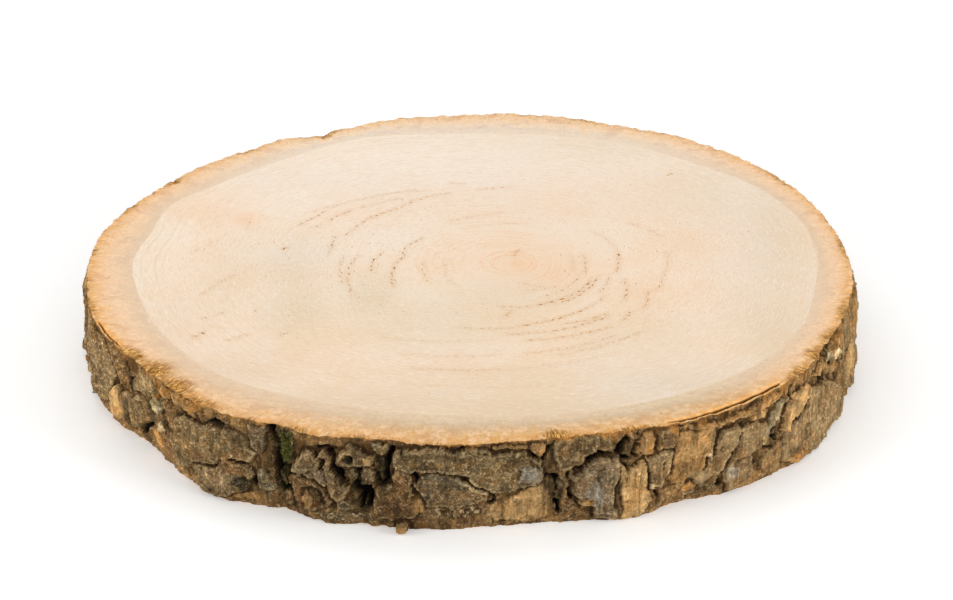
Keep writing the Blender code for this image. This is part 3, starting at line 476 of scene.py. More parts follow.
def make_streaks():
    """Streaks round or out from a middle: Round is how close they lie going round, Out going out."""
    tree, wire, given, end = new_group(
        "streaks",
        [
            ("Place", "NodeSocketVector", None), ("Middle", "NodeSocketVector", None),
            ("Reach", "NodeSocketFloat", 0.0), ("Round", "NodeSocketFloat", 40.0),
            ("Out", "NodeSocketFloat", 1500.0),
        ],
        [("Streak", "NodeSocketFloat")],
    )
    moved = wire.vector("SUBTRACT", {0: given["Place"], 1: given["Middle"]})
    flat = wire.vector("MULTIPLY", {0: moved, 1: (1, 1, 0)})
    way = wire.vector("NORMALIZE", {0: flat})
    scaled = wire.vector("SCALE", {0: way, "Scale": given["Round"]})
    out = wire.node("ShaderNodeCombineXYZ", None, {2: wire.times(given["Reach"], given["Out"])})
    both = wire.vector("ADD", {0: scaled, 1: out.outputs[0]})
    sockets = {"Vector": both, "Scale": 1.0, "Detail": 3.0, "Roughness": 0.65}
    wire.set(end, {"Streak": wire.noise(sockets)})
    return tree


MOTTLE = make_mottle()
GROWTH_RINGS = make_growth_rings()
STREAKS = make_streaks()

CREAM = linear(243, 224, 202)
WARM_CREAM = linear(242, 214, 184)
LATE_WOOD = linear(236, 178, 124)
GREY_LATE_WOOD = linear(220, 204, 180)
RING_TAN = linear(224, 194, 156)
RING_PALE = linear(252, 240, 224)
TORN_GOLD = linear(214, 160, 84)
PORE_BROWN = linear(188, 130, 56)
FLECK = linear(226, 198, 164)


def new_material(name):
    """An empty material, the wiring of its nodes and its shader."""
    made = bpy.data.materials.new(name)
    made.use_nodes = True
    shader = made.node_tree.nodes["Principled BSDF"]
    return made, Wiring(made.node_tree), shader


def sawn_wood_finish():
    """Pale end grain, stained in soft patches, with painted sheen at the back and painted shade at the front,
    and its rings, torn grain and pores.
    """
    made, wire, shader = new_material("sawn_wood")
    place = wire.place()
    ring = wire.value_of("ring")
    middle = (float(TRUNK_CENTRE[0] + PITH[0]), float(TRUNK_CENTRE[1] + PITH[1]), 0.0)

    def streak(how_round, out):
        sockets = {"Place": place, "Middle": middle, "Reach": ring, "Round": how_round, "Out": out}
        return wire.group(STREAKS, sockets)["Streak"]

    clouds = wire.group(MOTTLE, {"Place": place, "Scale": 26.0, "Low": 0.35, "High": 0.68})["Mask"]
    colour = wire.blend(clouds, CREAM, WARM_CREAM)
    # Stains, including the painted sheen at the back and the painted shade at the front.
    for stain, (tint, amount, _) in STAINS.items():
        colour = wire.blend(wire.times(wire.value_of(stain), amount), colour, tint)
    coarse, thin, long = streak(14.0, 150.0), streak(34.0, 420.0), streak(5.0, 260.0)
    colour = wire.blend(wire.times(wire.spread(coarse, 0.52, 0.66), 0.34), colour, RING_TAN)
    colour = wire.blend(wire.times(wire.spread(thin, 0.53, 0.66), 0.50), colour, RING_TAN)
    colour = wire.blend(wire.times(wire.spread(thin, 0.46, 0.34), 0.55), colour, RING_PALE)
    rings = wire.group(GROWTH_RINGS, {"Ring": ring, "Place": place, "Count": RING_COUNT, "Waver": 0.8})
    near_pith = wire.spread(ring, 0.42, 0.08)
    broken = wire.spread(long, 0.42, 0.58)
    warm_line = wire.times(wire.times(rings["Line"], broken), wire.plus(wire.times(near_pith, 0.85), 0.18))
    colour = wire.blend(warm_line, colour, LATE_WOOD)
    grey_line = wire.times(rings["Line"], wire.times(wire.spread(ring, 0.86, 0.965), 0.45))
    colour = wire.blend(grey_line, colour, GREY_LATE_WOOD)
    flecks = wire.group(MOTTLE, {"Place": place, "Scale": 1300.0, "Low": 0.54, "High": 0.68})["Mask"]
    colour = wire.blend(wire.times(flecks, 0.45), colour, FLECK)
    torn = wire.times(wire.value_of("torn"), wire.spread(streak(60.0, 420.0), 0.47, 0.60))
    colour = wire.blend(wire.times(torn, 0.90), colour, TORN_GOLD)
    pore = wire.spread(wire.value_of("pore"), 0.0, 0.5)
    colour = wire.blend(pore, colour, PORE_BROWN)
    bumps = wire.math("SUBTRACT", wire.plus(thin, wire.times(flecks, 0.5)), wire.times(torn, 1.5))
    bump = wire.node("ShaderNodeBump", None, {"Strength": 0.3, "Distance": 0.0002, "Height": bumps})
    rough = wire.spread(clouds, 0.0, 1.0, 0.62, 0.78)
    wire.set(shader, {"Base Color": colour, "Roughness": rough, "Normal": bump.outputs[0]})
    return made


wood = wood_disc()
wood.data.materials.append(sawn_wood_finish())
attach(wood, "root")
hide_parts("wood")


# The outer bark
# The rough outside of the trunk: dead bark that growth has cracked into plates and scales, grey
# with age where it is old, tan where a flake has come off, with painted shade in the cracks.
# The outer edge of the saw cut, as (angle in degrees, radius), and how far the foot stands inside it.
RIM = [
    (2, 0.1430), (20, 0.1440), (33, 0.1462), (45, 0.1471), (58, 0.1468), (66, 0.1452),
    (75, 0.1460), (83, 0.1452), (92, 0.1426), (105, 0.1415), (111, 0.1382), (114, 0.1376),
    (116.5, 0.1346), (119, 0.1368), (124, 0.1400), (129, 0.1390), (142, 0.1401), (151, 0.1395),
    (160, 0.1415), (173, 0.1430), (190, 0.1430), (201, 0.1443), (213, 0.1436), (222, 0.1448),
    (230, 0.1470), (238, 0.1470), (243, 0.1449), (250, 0.1465), (255, 0.1440), (266, 0.1445),
    (278, 0.1420), (289, 0.1430), (300, 0.1475), (311, 0.1486), (322, 0.1480), (335, 0.1443),
    (345, 0.1437), (355, 0.1436),
]
FOOT_INSET = [
    (10, 0.0010), (40, 0.0030), (75, 0.0015), (100, 0.0020), (130, 0.0010), (155, 0.0025),
    (180, -0.0020), (197, 0.0005), (208, 0.0030), (218, 0.0045), (229, 0.0018), (244, 0.0046),
    (252, 0.0030), (268, 0.0052), (282, 0.0046), (294, 0.0020), (299, 0.0065), (310, 0.0030),
    (322, 0.0002), (336, -0.0015), (350, -0.0020),
]
BARK_AROUND = 1440
RIM_FRAY = 0.0006
RIM_TEAR = 0.0009
RIM_DROP = 0.0007
FOOT_LIFT = 0.0005
TRUNK_CENTRE_3D = np.array([*TRUNK_CENTRE, 0.0])
# Plates, the lower ones first: finish, how far out, how much the edge curls, and the outline as
# (angle in degrees, height).
PLATES = [
    ("brown", 0.0002, 0.0000, [
        (183, 0.004), (184, 0.030), (188, 0.034), (189.6, 0.020), (191, 0.006), (188, 0.001)]),
    ("grey", 0.0006, 0.0002, [
        (191.6, 0.005), (190.5, 0.020), (189.6, 0.033), (194, 0.035), (197, 0.030), (199, 0.018),
        (200.6, 0.006), (196, 0.002)]),
    ("olive", 0.0010, 0.0002, [
        (201.6, 0.005), (200, 0.016), (198.5, 0.028), (200, 0.034), (204, 0.0335), (206.4, 0.029),
        (207.2, 0.022), (205.8, 0.014), (204.4, 0.008)]),
    ("brown", 0.0004, 0.0002, [
        (207, 0.031), (208, 0.026), (208.4, 0.020), (210.6, 0.019), (211.4, 0.023), (211.2, 0.029),
        (210, 0.034), (208.2, 0.034)]),
    ("tan", 0.0014, 0.0004, [
        (204.6, 0.009), (205.6, 0.013), (207, 0.017), (208.2, 0.0195), (209, 0.018), (208.9, 0.015),
        (209.6, 0.0105), (210, 0.005), (206, 0.0042), (205, 0.0065)]),
    ("grey", 0.0008, 0.0004, [
        (209.3, 0.0172), (210.5, 0.0188), (212.6, 0.0186), (214.2, 0.0168), (215.1, 0.0138),
        (214.4, 0.0095), (213.2, 0.006), (212, 0.005), (211.4, 0.006), (210.3, 0.011)]),
    ("olive", -0.0002, 0.0000, [
        (213, 0.022), (213, 0.030), (214.5, 0.034), (218, 0.034), (219.6, 0.031), (218.8, 0.026),
        (219, 0.021), (219, 0.016), (217.5, 0.014), (216, 0.017), (216.6, 0.021), (215, 0.0228)]),
    ("orange", 0.0002, 0.0000, [
        (216.2, 0.006), (217, 0.0108), (219, 0.0112), (220, 0.009), (219.8, 0.005)]),
    ("pale", 0.0010, 0.0003, [
        (213.4, 0.0186), (213.7, 0.0204), (214.8, 0.0206), (215.2, 0.0192), (214.4, 0.0184)]),
    ("lichen", 0.0012, 0.0003, [
        (219, 0.027), (219.9, 0.0295), (221.4, 0.0285), (222, 0.026), (221.5, 0.023),
        (220.6, 0.0205), (219.4, 0.0208), (218.9, 0.024)]),
    ("brown", 0.0006, 0.0000, [
        (222.2, 0.0295), (225.4, 0.0288), (225.2, 0.020), (224.8, 0.008), (222.2, 0.0055),
        (220.4, 0.008), (221.4, 0.0125), (221.6, 0.0165), (223.6, 0.0168), (222.6, 0.021)]),
    ("pale", 0.0009, 0.0002, [
        (219.4, 0.013), (219.8, 0.017), (221, 0.0172), (221.2, 0.014), (220.4, 0.0126)]),
    ("umber", 0.0006, 0.0002, [
        (222.2, 0.0345), (222.6, 0.0312), (224, 0.0308), (226, 0.0302), (229, 0.0312), (231, 0.0318),
        (231.6, 0.0345), (228, 0.0352)]),
    ("olive", 0.0016, 0.0003, [
        (225.6, 0.020), (226, 0.0265), (228, 0.0288), (231, 0.0282), (233, 0.0286), (234.5, 0.0297),
        (237, 0.0302), (238.6, 0.0295), (239, 0.0245), (239.8, 0.0215), (239.3, 0.0185),
        (236.5, 0.0175), (234.5, 0.0165), (233, 0.0128), (230, 0.0123), (229, 0.0092),
        (228, 0.007), (225.6, 0.0065), (225.2, 0.012)]),
    ("grey", 0.0010, 0.0005, [
        (229, 0.0086), (229.8, 0.0115), (231, 0.012), (233, 0.0121), (234, 0.015), (235, 0.0172),
        (236.5, 0.0170), (238, 0.0164), (239, 0.0155), (239.2, 0.012), (238.2, 0.009),
        (238, 0.006), (236, 0.004), (234.5, 0.002), (233.5, 0.0002), (231, 0.0014),
        (229.5, 0.003), (229.2, 0.006)]),
    ("slate", 0.0004, 0.0000, [
        (235.8, 0.0075), (236.4, 0.011), (238, 0.012), (238.6, 0.009), (237.6, 0.006)]),
    ("lichen", 0.0007, 0.0003, [
        (239.4, 0.010), (239.6, 0.015), (240.5, 0.0168), (241.4, 0.014), (242.1, 0.012),
        (242.2, 0.0085), (241, 0.007), (239.9, 0.008)]),
    ("mauve", 0.0008, 0.0002, [
        (239, 0.034), (239.3, 0.025), (240.2, 0.0225), (241.6, 0.026), (241.8, 0.034)]),
    ("pale", 0.0014, 0.0003, [
        (238.7, 0.0248), (239.3, 0.0238), (240.1, 0.0218), (239.7, 0.0214), (239.1, 0.0228)]),
    ("orange", 0.0002, 0.0000, [
        (235.6, 0.002), (236, 0.0042), (239, 0.0055), (239.6, 0.0035), (238, 0.0015)]),
    ("brown", 0.0004, 0.0002, [
        (242.4, 0.003), (242.8, 0.008), (244, 0.0092), (244.8, 0.0075), (244.8, 0.003)]),
    ("lichen", 0.0012, 0.0004, [
        (244.9, 0.0195), (245.4, 0.0212), (246.3, 0.0208), (246.9, 0.0193), (246.8, 0.018),
        (245.6, 0.0177), (244.8, 0.0182)]),
    ("brown", 0.0012, 0.0006, [
        (245, 0.0175), (246, 0.0174), (247.4, 0.0182), (249, 0.0174), (250.4, 0.0158), (251, 0.013),
        (251.2, 0.0095), (250.6, 0.0075), (249.4, 0.007), (248.8, 0.0046), (247.4, 0.004),
        (246, 0.0045), (245, 0.006), (244.8, 0.010), (245, 0.014)]),
    ("dark", 0.0004, 0.0000, [
        (246.4, 0.0095), (246.6, 0.0134), (248, 0.0152), (249.6, 0.015), (250.4, 0.0126),
        (250.4, 0.0092), (249.4, 0.0074), (248, 0.0054), (246.8, 0.0054)]),
    ("brown", 0.0011, 0.0002, [
        (247, 0.0098), (247.2, 0.0124), (248.2, 0.0138), (249.4, 0.0134), (249.8, 0.0112),
        (249.4, 0.009), (248.2, 0.0092)]),
    ("umber", 0.0010, 0.0002, [
        (246.7, 0.009), (247.1, 0.0112), (248.3, 0.0104), (248.5, 0.008), (247.8, 0.005),
        (246.9, 0.0055)]),
    ("mauve", 0.0016, 0.0004, [
        (247.6, 0.0206), (248.6, 0.0228), (249.6, 0.0238), (250.6, 0.024), (251.2, 0.021),
        (251.4, 0.0185), (250.6, 0.0164), (249.4, 0.0178), (248.2, 0.0186), (247.2, 0.0192)]),
    ("grey", 0.0026, 0.0006, [
        (246.2, 0.021), (246.2, 0.025), (247, 0.0275), (247.8, 0.030), (248.9, 0.0302),
        (249.5, 0.0287), (250.2, 0.0272), (250.4, 0.025), (249.6, 0.0236), (248.6, 0.0225),
        (247.6, 0.0203), (246.8, 0.020)]),
    ("grey", 0.0026, 0.0009, [
        (250.3, 0.0305), (251.1, 0.029), (251.5, 0.0265), (251.3, 0.0225), (252.2, 0.0204),
        (252.9, 0.0176), (253.8, 0.0164), (253.5, 0.014), (252.9, 0.011), (252, 0.011),
        (251.4, 0.013), (250.9, 0.016), (251, 0.020), (250.6, 0.024), (250.7, 0.0274),
        (249.9, 0.029)]),
    ("slate", 0.0006, 0.0002, [
        (251.8, 0.0065), (251.8, 0.0095), (253.2, 0.0105), (254.2, 0.0085), (253.8, 0.006)]),
    ("lichen", -0.0006, 0.0000, [
        (252.5, 0.0238), (254.8, 0.0236), (254.9, 0.0205), (253.8, 0.0188), (252.8, 0.0206)]),
    ("grey", 0.0010, 0.0003, [
        (255.1, 0.0248), (256.2, 0.0254), (257.1, 0.0235), (257.1, 0.019), (256.6, 0.017),
        (255.4, 0.0172), (255.2, 0.0205)]),
    ("grey", 0.0020, 0.0004, [
        (253, 0.031), (253.8, 0.0332), (254.8, 0.0328), (255.5, 0.031), (256, 0.0304),
        (257.2, 0.0306), (257.5, 0.029), (257, 0.027), (256, 0.0256), (254.8, 0.0252),
        (253.9, 0.0246), (252.6, 0.0248), (252.1, 0.026), (252.2, 0.029)]),
    ("tan", 0.0026, 0.0002, [
        (256.1, 0.0296), (257.4, 0.0302), (257.2, 0.028), (256.6, 0.0264), (256.1, 0.0276)]),
    ("lichen", 0.0010, 0.0002, [
        (256.6, 0.0345), (259.3, 0.0345), (259, 0.031), (258.2, 0.0292), (257.6, 0.0304)]),
    ("grey", 0.0000, 0.0000, [
        (257.6, 0.029), (258.7, 0.0292), (258.5, 0.024), (258.1, 0.022), (257.6, 0.023)]),
    ("olive", -0.0002, 0.0000, [
        (250, 0.0015), (250.6, 0.0055), (253, 0.0056), (256, 0.0056), (257, 0.0025), (254, 0.001)]),
    ("brown", 0.0011, 0.0003, [
        (257.2, 0.016), (257.8, 0.0172), (259.2, 0.0184), (259.6, 0.0216), (260, 0.0246),
        (261.6, 0.0250), (262.2, 0.0244), (262.4, 0.020), (262.6, 0.016), (263.4, 0.012),
        (263.5, 0.008), (262.4, 0.005), (260, 0.003), (257.4, 0.0034), (256.9, 0.007),
        (257, 0.012)]),
    ("umber", 0.0002, 0.0000, [
        (261.9, 0.0146), (263.1, 0.015), (263.7, 0.012), (263.7, 0.0074), (262.8, 0.0068),
        (261.9, 0.010)]),
    ("orange", 0.0004, 0.0000, [
        (262.8, 0.0225), (262.9, 0.0242), (263.8, 0.024), (263.9, 0.023)]),
    ("tan", -0.0001, 0.0000, [
        (273, 0.0095), (274, 0.011), (275.6, 0.012), (277, 0.0138), (278.4, 0.0165),
        (280.4, 0.0167), (281.3, 0.014), (281.6, 0.009), (281.2, 0.003), (278, 0.001),
        (273.2, 0.001)]),
    ("slate", 0.0012, 0.0005, [
        (262.6, 0.0195), (263.2, 0.0224), (264, 0.0238), (265.4, 0.0248), (267, 0.024),
        (267.8, 0.0230), (269, 0.0229), (269.6, 0.0204), (270.8, 0.0186), (271.6, 0.0168),
        (272.9, 0.015), (272.6, 0.0126), (271, 0.011), (270, 0.010), (266, 0.0096),
        (264.2, 0.010), (263.7, 0.014), (262.9, 0.017)]),
    ("olive", 0.0019, 0.0004, [
        (260.2, 0.0254), (259.7, 0.029), (260, 0.032), (261.3, 0.034), (264, 0.035),
        (266.5, 0.0352), (268, 0.033), (270, 0.0348), (272.6, 0.0342), (273.2, 0.032),
        (278, 0.0312), (278.4, 0.0294), (280.2, 0.0266), (280.6, 0.019), (279.8, 0.0174),
        (277.6, 0.0164), (275, 0.015), (273.6, 0.0156), (271.6, 0.0174), (270.6, 0.0202),
        (269.8, 0.0236), (267, 0.0249), (265, 0.0257), (262, 0.0253)]),
    ("ash", 0.0020, 0.0000, [
        (278.8, 0.0195), (279, 0.023), (280.1, 0.0234), (280.5, 0.020), (279.8, 0.0184)]),
    ("orange", 0.0013, 0.0003, [
        (278.2, 0.034), (278.5, 0.0314), (279.5, 0.030), (279.9, 0.028), (280.4, 0.030),
        (280.7, 0.0332), (280, 0.035)]),
    ("lichen", -0.0012, 0.0003, [
        (282.7, 0.018), (283.5, 0.0196), (283.8, 0.016), (283.6, 0.012), (283.3, 0.009),
        (282.8, 0.007), (282.6, 0.011)]),
    ("olive", 0.0012, 0.0004, [
        (281.7, 0.0334), (282, 0.027), (282.6, 0.023), (283.6, 0.0225), (285, 0.0240),
        (286, 0.0254), (286.8, 0.0274), (288, 0.0288), (289.6, 0.0294), (290, 0.031),
        (289.4, 0.035), (285, 0.0355), (282, 0.035)]),
    ("brown", 0.0002, 0.0003, [
        (283.2, 0.008), (285, 0.0088), (286.6, 0.0068), (287.4, 0.005), (287.6, 0.001),
        (283.4, 0.001), (283, 0.005)]),
    ("mauve", 0.0019, 0.0006, [
        (284.3, 0.0202), (285.6, 0.0208), (286.2, 0.0226), (286.6, 0.0248), (287.4, 0.0264),
        (288.6, 0.0268), (289.8, 0.0262), (290.9, 0.0266), (291, 0.023), (290.9, 0.018),
        (290.4, 0.012), (290.6, 0.006), (291, 0.001), (288, 0.0012), (287.8, 0.006),
        (287, 0.009), (285.6, 0.0096), (284.9, 0.012), (284.8, 0.016)]),
    ("ash", 0.0020, 0.0000, [
        (287.4, 0.0175), (288.2, 0.019), (288.9, 0.017), (288.8, 0.012), (288.9, 0.004),
        (288.1, 0.003), (287.6, 0.009), (286.6, 0.011), (286, 0.0126), (287, 0.014)]),
    ("orange", 0.0016, 0.0004, [
        (285.4, 0.0094), (286.6, 0.0098), (287.4, 0.0088), (287.4, 0.0066), (286.6, 0.0072),
        (285.8, 0.008)]),
    ("tan", 0.0008, 0.0003, [
        (291.2, 0.0235), (292, 0.0215), (293.4, 0.022), (294.2, 0.024), (295.4, 0.020),
        (295.4, 0.014), (295.6, 0.010), (296.3, 0.006), (294.9, 0.0024), (294.2, 0.0002),
        (291.8, 0.0004), (291.6, 0.008), (291.1, 0.014), (290.9, 0.020)]),
    ("orange", 0.0010, 0.0003, [
        (293.8, 0.032), (294.2, 0.035), (295.6, 0.035), (296, 0.031), (295.8, 0.026),
        (294.4, 0.0256), (293.8, 0.0276)]),
    ("brown", 0.0010, 0.0003, [
        (296.3, 0.0346), (299.2, 0.0348), (299.2, 0.028), (298.8, 0.0268), (297.4, 0.027),
        (296.3, 0.0262)]),
    ("grey", 0.0009, 0.0004, [
        (294.6, 0.0238), (296, 0.0242), (297.4, 0.026), (298.8, 0.025), (299, 0.020),
        (298.8, 0.016), (298.2, 0.012), (296.8, 0.0106), (295.8, 0.013), (295.6, 0.018)]),
    ("pale", 0.0010, 0.0003, [
        (295.8, 0.0128), (296.6, 0.012), (296.6, 0.0098), (295.8, 0.0104)]),
    ("umber", 0.0007, 0.0002, [
        (299.2, 0.0325), (304.6, 0.0320), (305.2, 0.029), (305, 0.022), (304.4, 0.015),
        (302.6, 0.011), (300, 0.009), (298.6, 0.012), (299.2, 0.018), (299, 0.026)]),
    ("brown", 0.0002, 0.0002, [
        (296.8, 0.003), (297.6, 0.0085), (300, 0.0086), (302, 0.0104), (303.8, 0.006), (304, 0.002),
        (300, 0.0015)]),
    ("orange", 0.0006, 0.0002, [
        (301.1, 0.008), (302.6, 0.0086), (303.4, 0.007), (303.4, 0.003), (301.2, 0.003)]),
    ("grey", 0.0014, 0.0004, [
        (301.6, 0.0116), (302.6, 0.0136), (304, 0.0138), (305, 0.016), (305.2, 0.021),
        (305.4, 0.026), (305.8, 0.0285), (308.4, 0.0292), (309.2, 0.027), (308.9, 0.022),
        (308, 0.0175), (307.2, 0.0126), (306.4, 0.009), (305.4, 0.008), (304.4, 0.0064),
        (303.6, 0.0062), (302.6, 0.009)]),
    ("pale", 0.0022, 0.0002, [
        (303.6, 0.0208), (304.4, 0.0204), (305, 0.018), (304.9, 0.0146), (304.6, 0.0148),
        (304.6, 0.0178), (304.2, 0.0194)]),
    ("grey", 0.0012, 0.0004, [
        (309.7, 0.0272), (312, 0.0264), (314, 0.0246), (314.6, 0.022), (314.3, 0.017),
        (313.6, 0.0156), (312.2, 0.0142), (312, 0.011), (312.4, 0.008), (311.6, 0.003),
        (308.4, 0.001), (307.6, 0.006), (307.7, 0.010), (308.6, 0.015), (309.5, 0.021)]),
    ("ash", 0.0013, 0.0000, [
        (308, 0.011), (309.4, 0.0126), (310, 0.009), (309.6, 0.006), (308.2, 0.006)]),
    ("umber", 0.0010, 0.0002, [
        (310.4, 0.030), (313.8, 0.0312), (314.6, 0.0286), (313.6, 0.0268), (311.4, 0.0274)]),
    ("lichen", 0.0017, 0.0004, [
        (314.4, 0.023), (314.8, 0.027), (316, 0.0302), (317.6, 0.0314), (318.7, 0.031),
        (318.2, 0.029), (316.8, 0.027), (315.5, 0.0246), (314.8, 0.0216), (314.4, 0.018),
        (313.3, 0.0162), (313.3, 0.0192)]),
    ("orange", 0.0012, 0.0004, [
        (300, 0.0336), (306, 0.0334), (312, 0.0338), (316, 0.0345), (318.4, 0.033), (316, 0.031),
        (314, 0.0304), (311, 0.0302), (308.6, 0.0312), (304.6, 0.0314)]),
    ("brown", 0.0006, 0.0002, [
        (313.6, 0.0066), (313.8, 0.0096), (315, 0.012), (316.6, 0.0134), (318, 0.0136),
        (318.6, 0.010), (318, 0.004), (315, 0.003)]),
    ("grey", 0.0014, 0.0004, [
        (318.8, 0.0148), (320.5, 0.0168), (323.4, 0.0204), (324.4, 0.024), (326, 0.026),
        (328.6, 0.025), (330.4, 0.024), (333, 0.020), (335.6, 0.015), (337, 0.009), (336, 0.001),
        (326, 0.0002), (321, 0.001), (318.6, 0.004), (318.4, 0.010)]),
    ("tan", 0.0019, 0.0004, [
        (317.6, 0.024), (318.6, 0.0268), (319.8, 0.0296), (322, 0.031), (324, 0.030),
        (324.6, 0.026), (323, 0.023), (321.6, 0.0216), (319.6, 0.0204), (318, 0.0176),
        (317, 0.0188)]),
    ("orange", 0.0016, 0.0000, [
        (320, 0.003), (320.6, 0.0056), (322, 0.006), (323.6, 0.0044), (324, 0.001), (321, 0.0005)]),
    ("umber", 0.0008, 0.0002, [
        (325, 0.0315), (327, 0.029), (329.5, 0.0275), (331, 0.025), (334, 0.022), (337, 0.019),
        (340, 0.016), (341, 0.026), (338, 0.034), (330, 0.035)]),
    ("pale", 0.0015, 0.0003, [
        (331, 0.0335), (334, 0.032), (337, 0.0286), (338.6, 0.0254), (336.6, 0.025), (334, 0.027),
        (331.6, 0.0294), (330.6, 0.031)]),
    ("grey", 0.0006, 0.0003, [
        (341.8, 0.005), (341.6, 0.020), (342, 0.033), (346, 0.034), (349, 0.024), (350.6, 0.008),
        (346, 0.002)]),
    ("tan", 0.0010, 0.0003, [
        (342.5, 0.010), (343, 0.018), (345.5, 0.022), (347.6, 0.014), (346.4, 0.006)]),
    ("umber", 0.0004, 0.0002, [
        (351.6, 0.004), (350.4, 0.020), (350, 0.033), (354.6, 0.034), (356, 0.018), (355, 0.004)]),
    ("moss", 0.0004, 0.0000, [
        (243.9, 0.0205), (243.8, 0.028), (244.0, 0.0345), (245.7, 0.0348), (246.1, 0.031),
        (245.9, 0.026), (245.2, 0.022), (244.6, 0.0198)]),
    ("orange", 0.0016, 0.0002, [
        (273.2, 0.0338), (275.6, 0.0332), (278.0, 0.0328), (278.2, 0.0339), (275.6, 0.0344),
        (273.4, 0.0349)]),
    ("orange", 0.0018, 0.0006, [
        (222.0, 0.0318), (222.6, 0.0352), (224.2, 0.0356), (224.8, 0.0330), (224.0, 0.0308),
        (222.8, 0.0306)]),
    ("orange", 0.0053, 0.0000, [
        (260.1, 0.0036), (260, 0.0014), (260.4, 0.0), (261.4, 0.0), (261.8, 0.0012),
        (261.7, 0.0036)]),
]
# Thin scales on them that differ only in what colour they have.
SCALES = [
    ("grey", 0.0013, 0.0003, [
        (264.2, 0.0104), (264.6, 0.0150), (266.4, 0.0176), (268.8, 0.0180), (270.2, 0.0176),
        (271.8, 0.0158), (272.6, 0.0140), (271, 0.0112), (267, 0.0100)]),
    ("pale", 0.0020, 0.0002, [
        (269.4, 0.0216), (270.3, 0.0200), (271.0, 0.0184), (272.0, 0.0170), (272.8, 0.0158),
        (272.6, 0.0148), (271.6, 0.0158), (270.7, 0.0172), (270.0, 0.0188), (269.2, 0.0204)]),
    ("ash", 0.0020, 0.0000, [
        (276.8, 0.0190), (277.4, 0.0246), (279.2, 0.0256), (280.2, 0.0236), (280.4, 0.0196), (279, 0.0180)]),
    ("grey", 0.0020, 0.0002, [
        (229.6, 0.0028), (231.2, 0.0022), (233.6, 0.0014), (235.6, 0.0032), (235.2, 0.0040),
        (233.4, 0.0026), (231.2, 0.0034), (229.8, 0.0042)]),
]
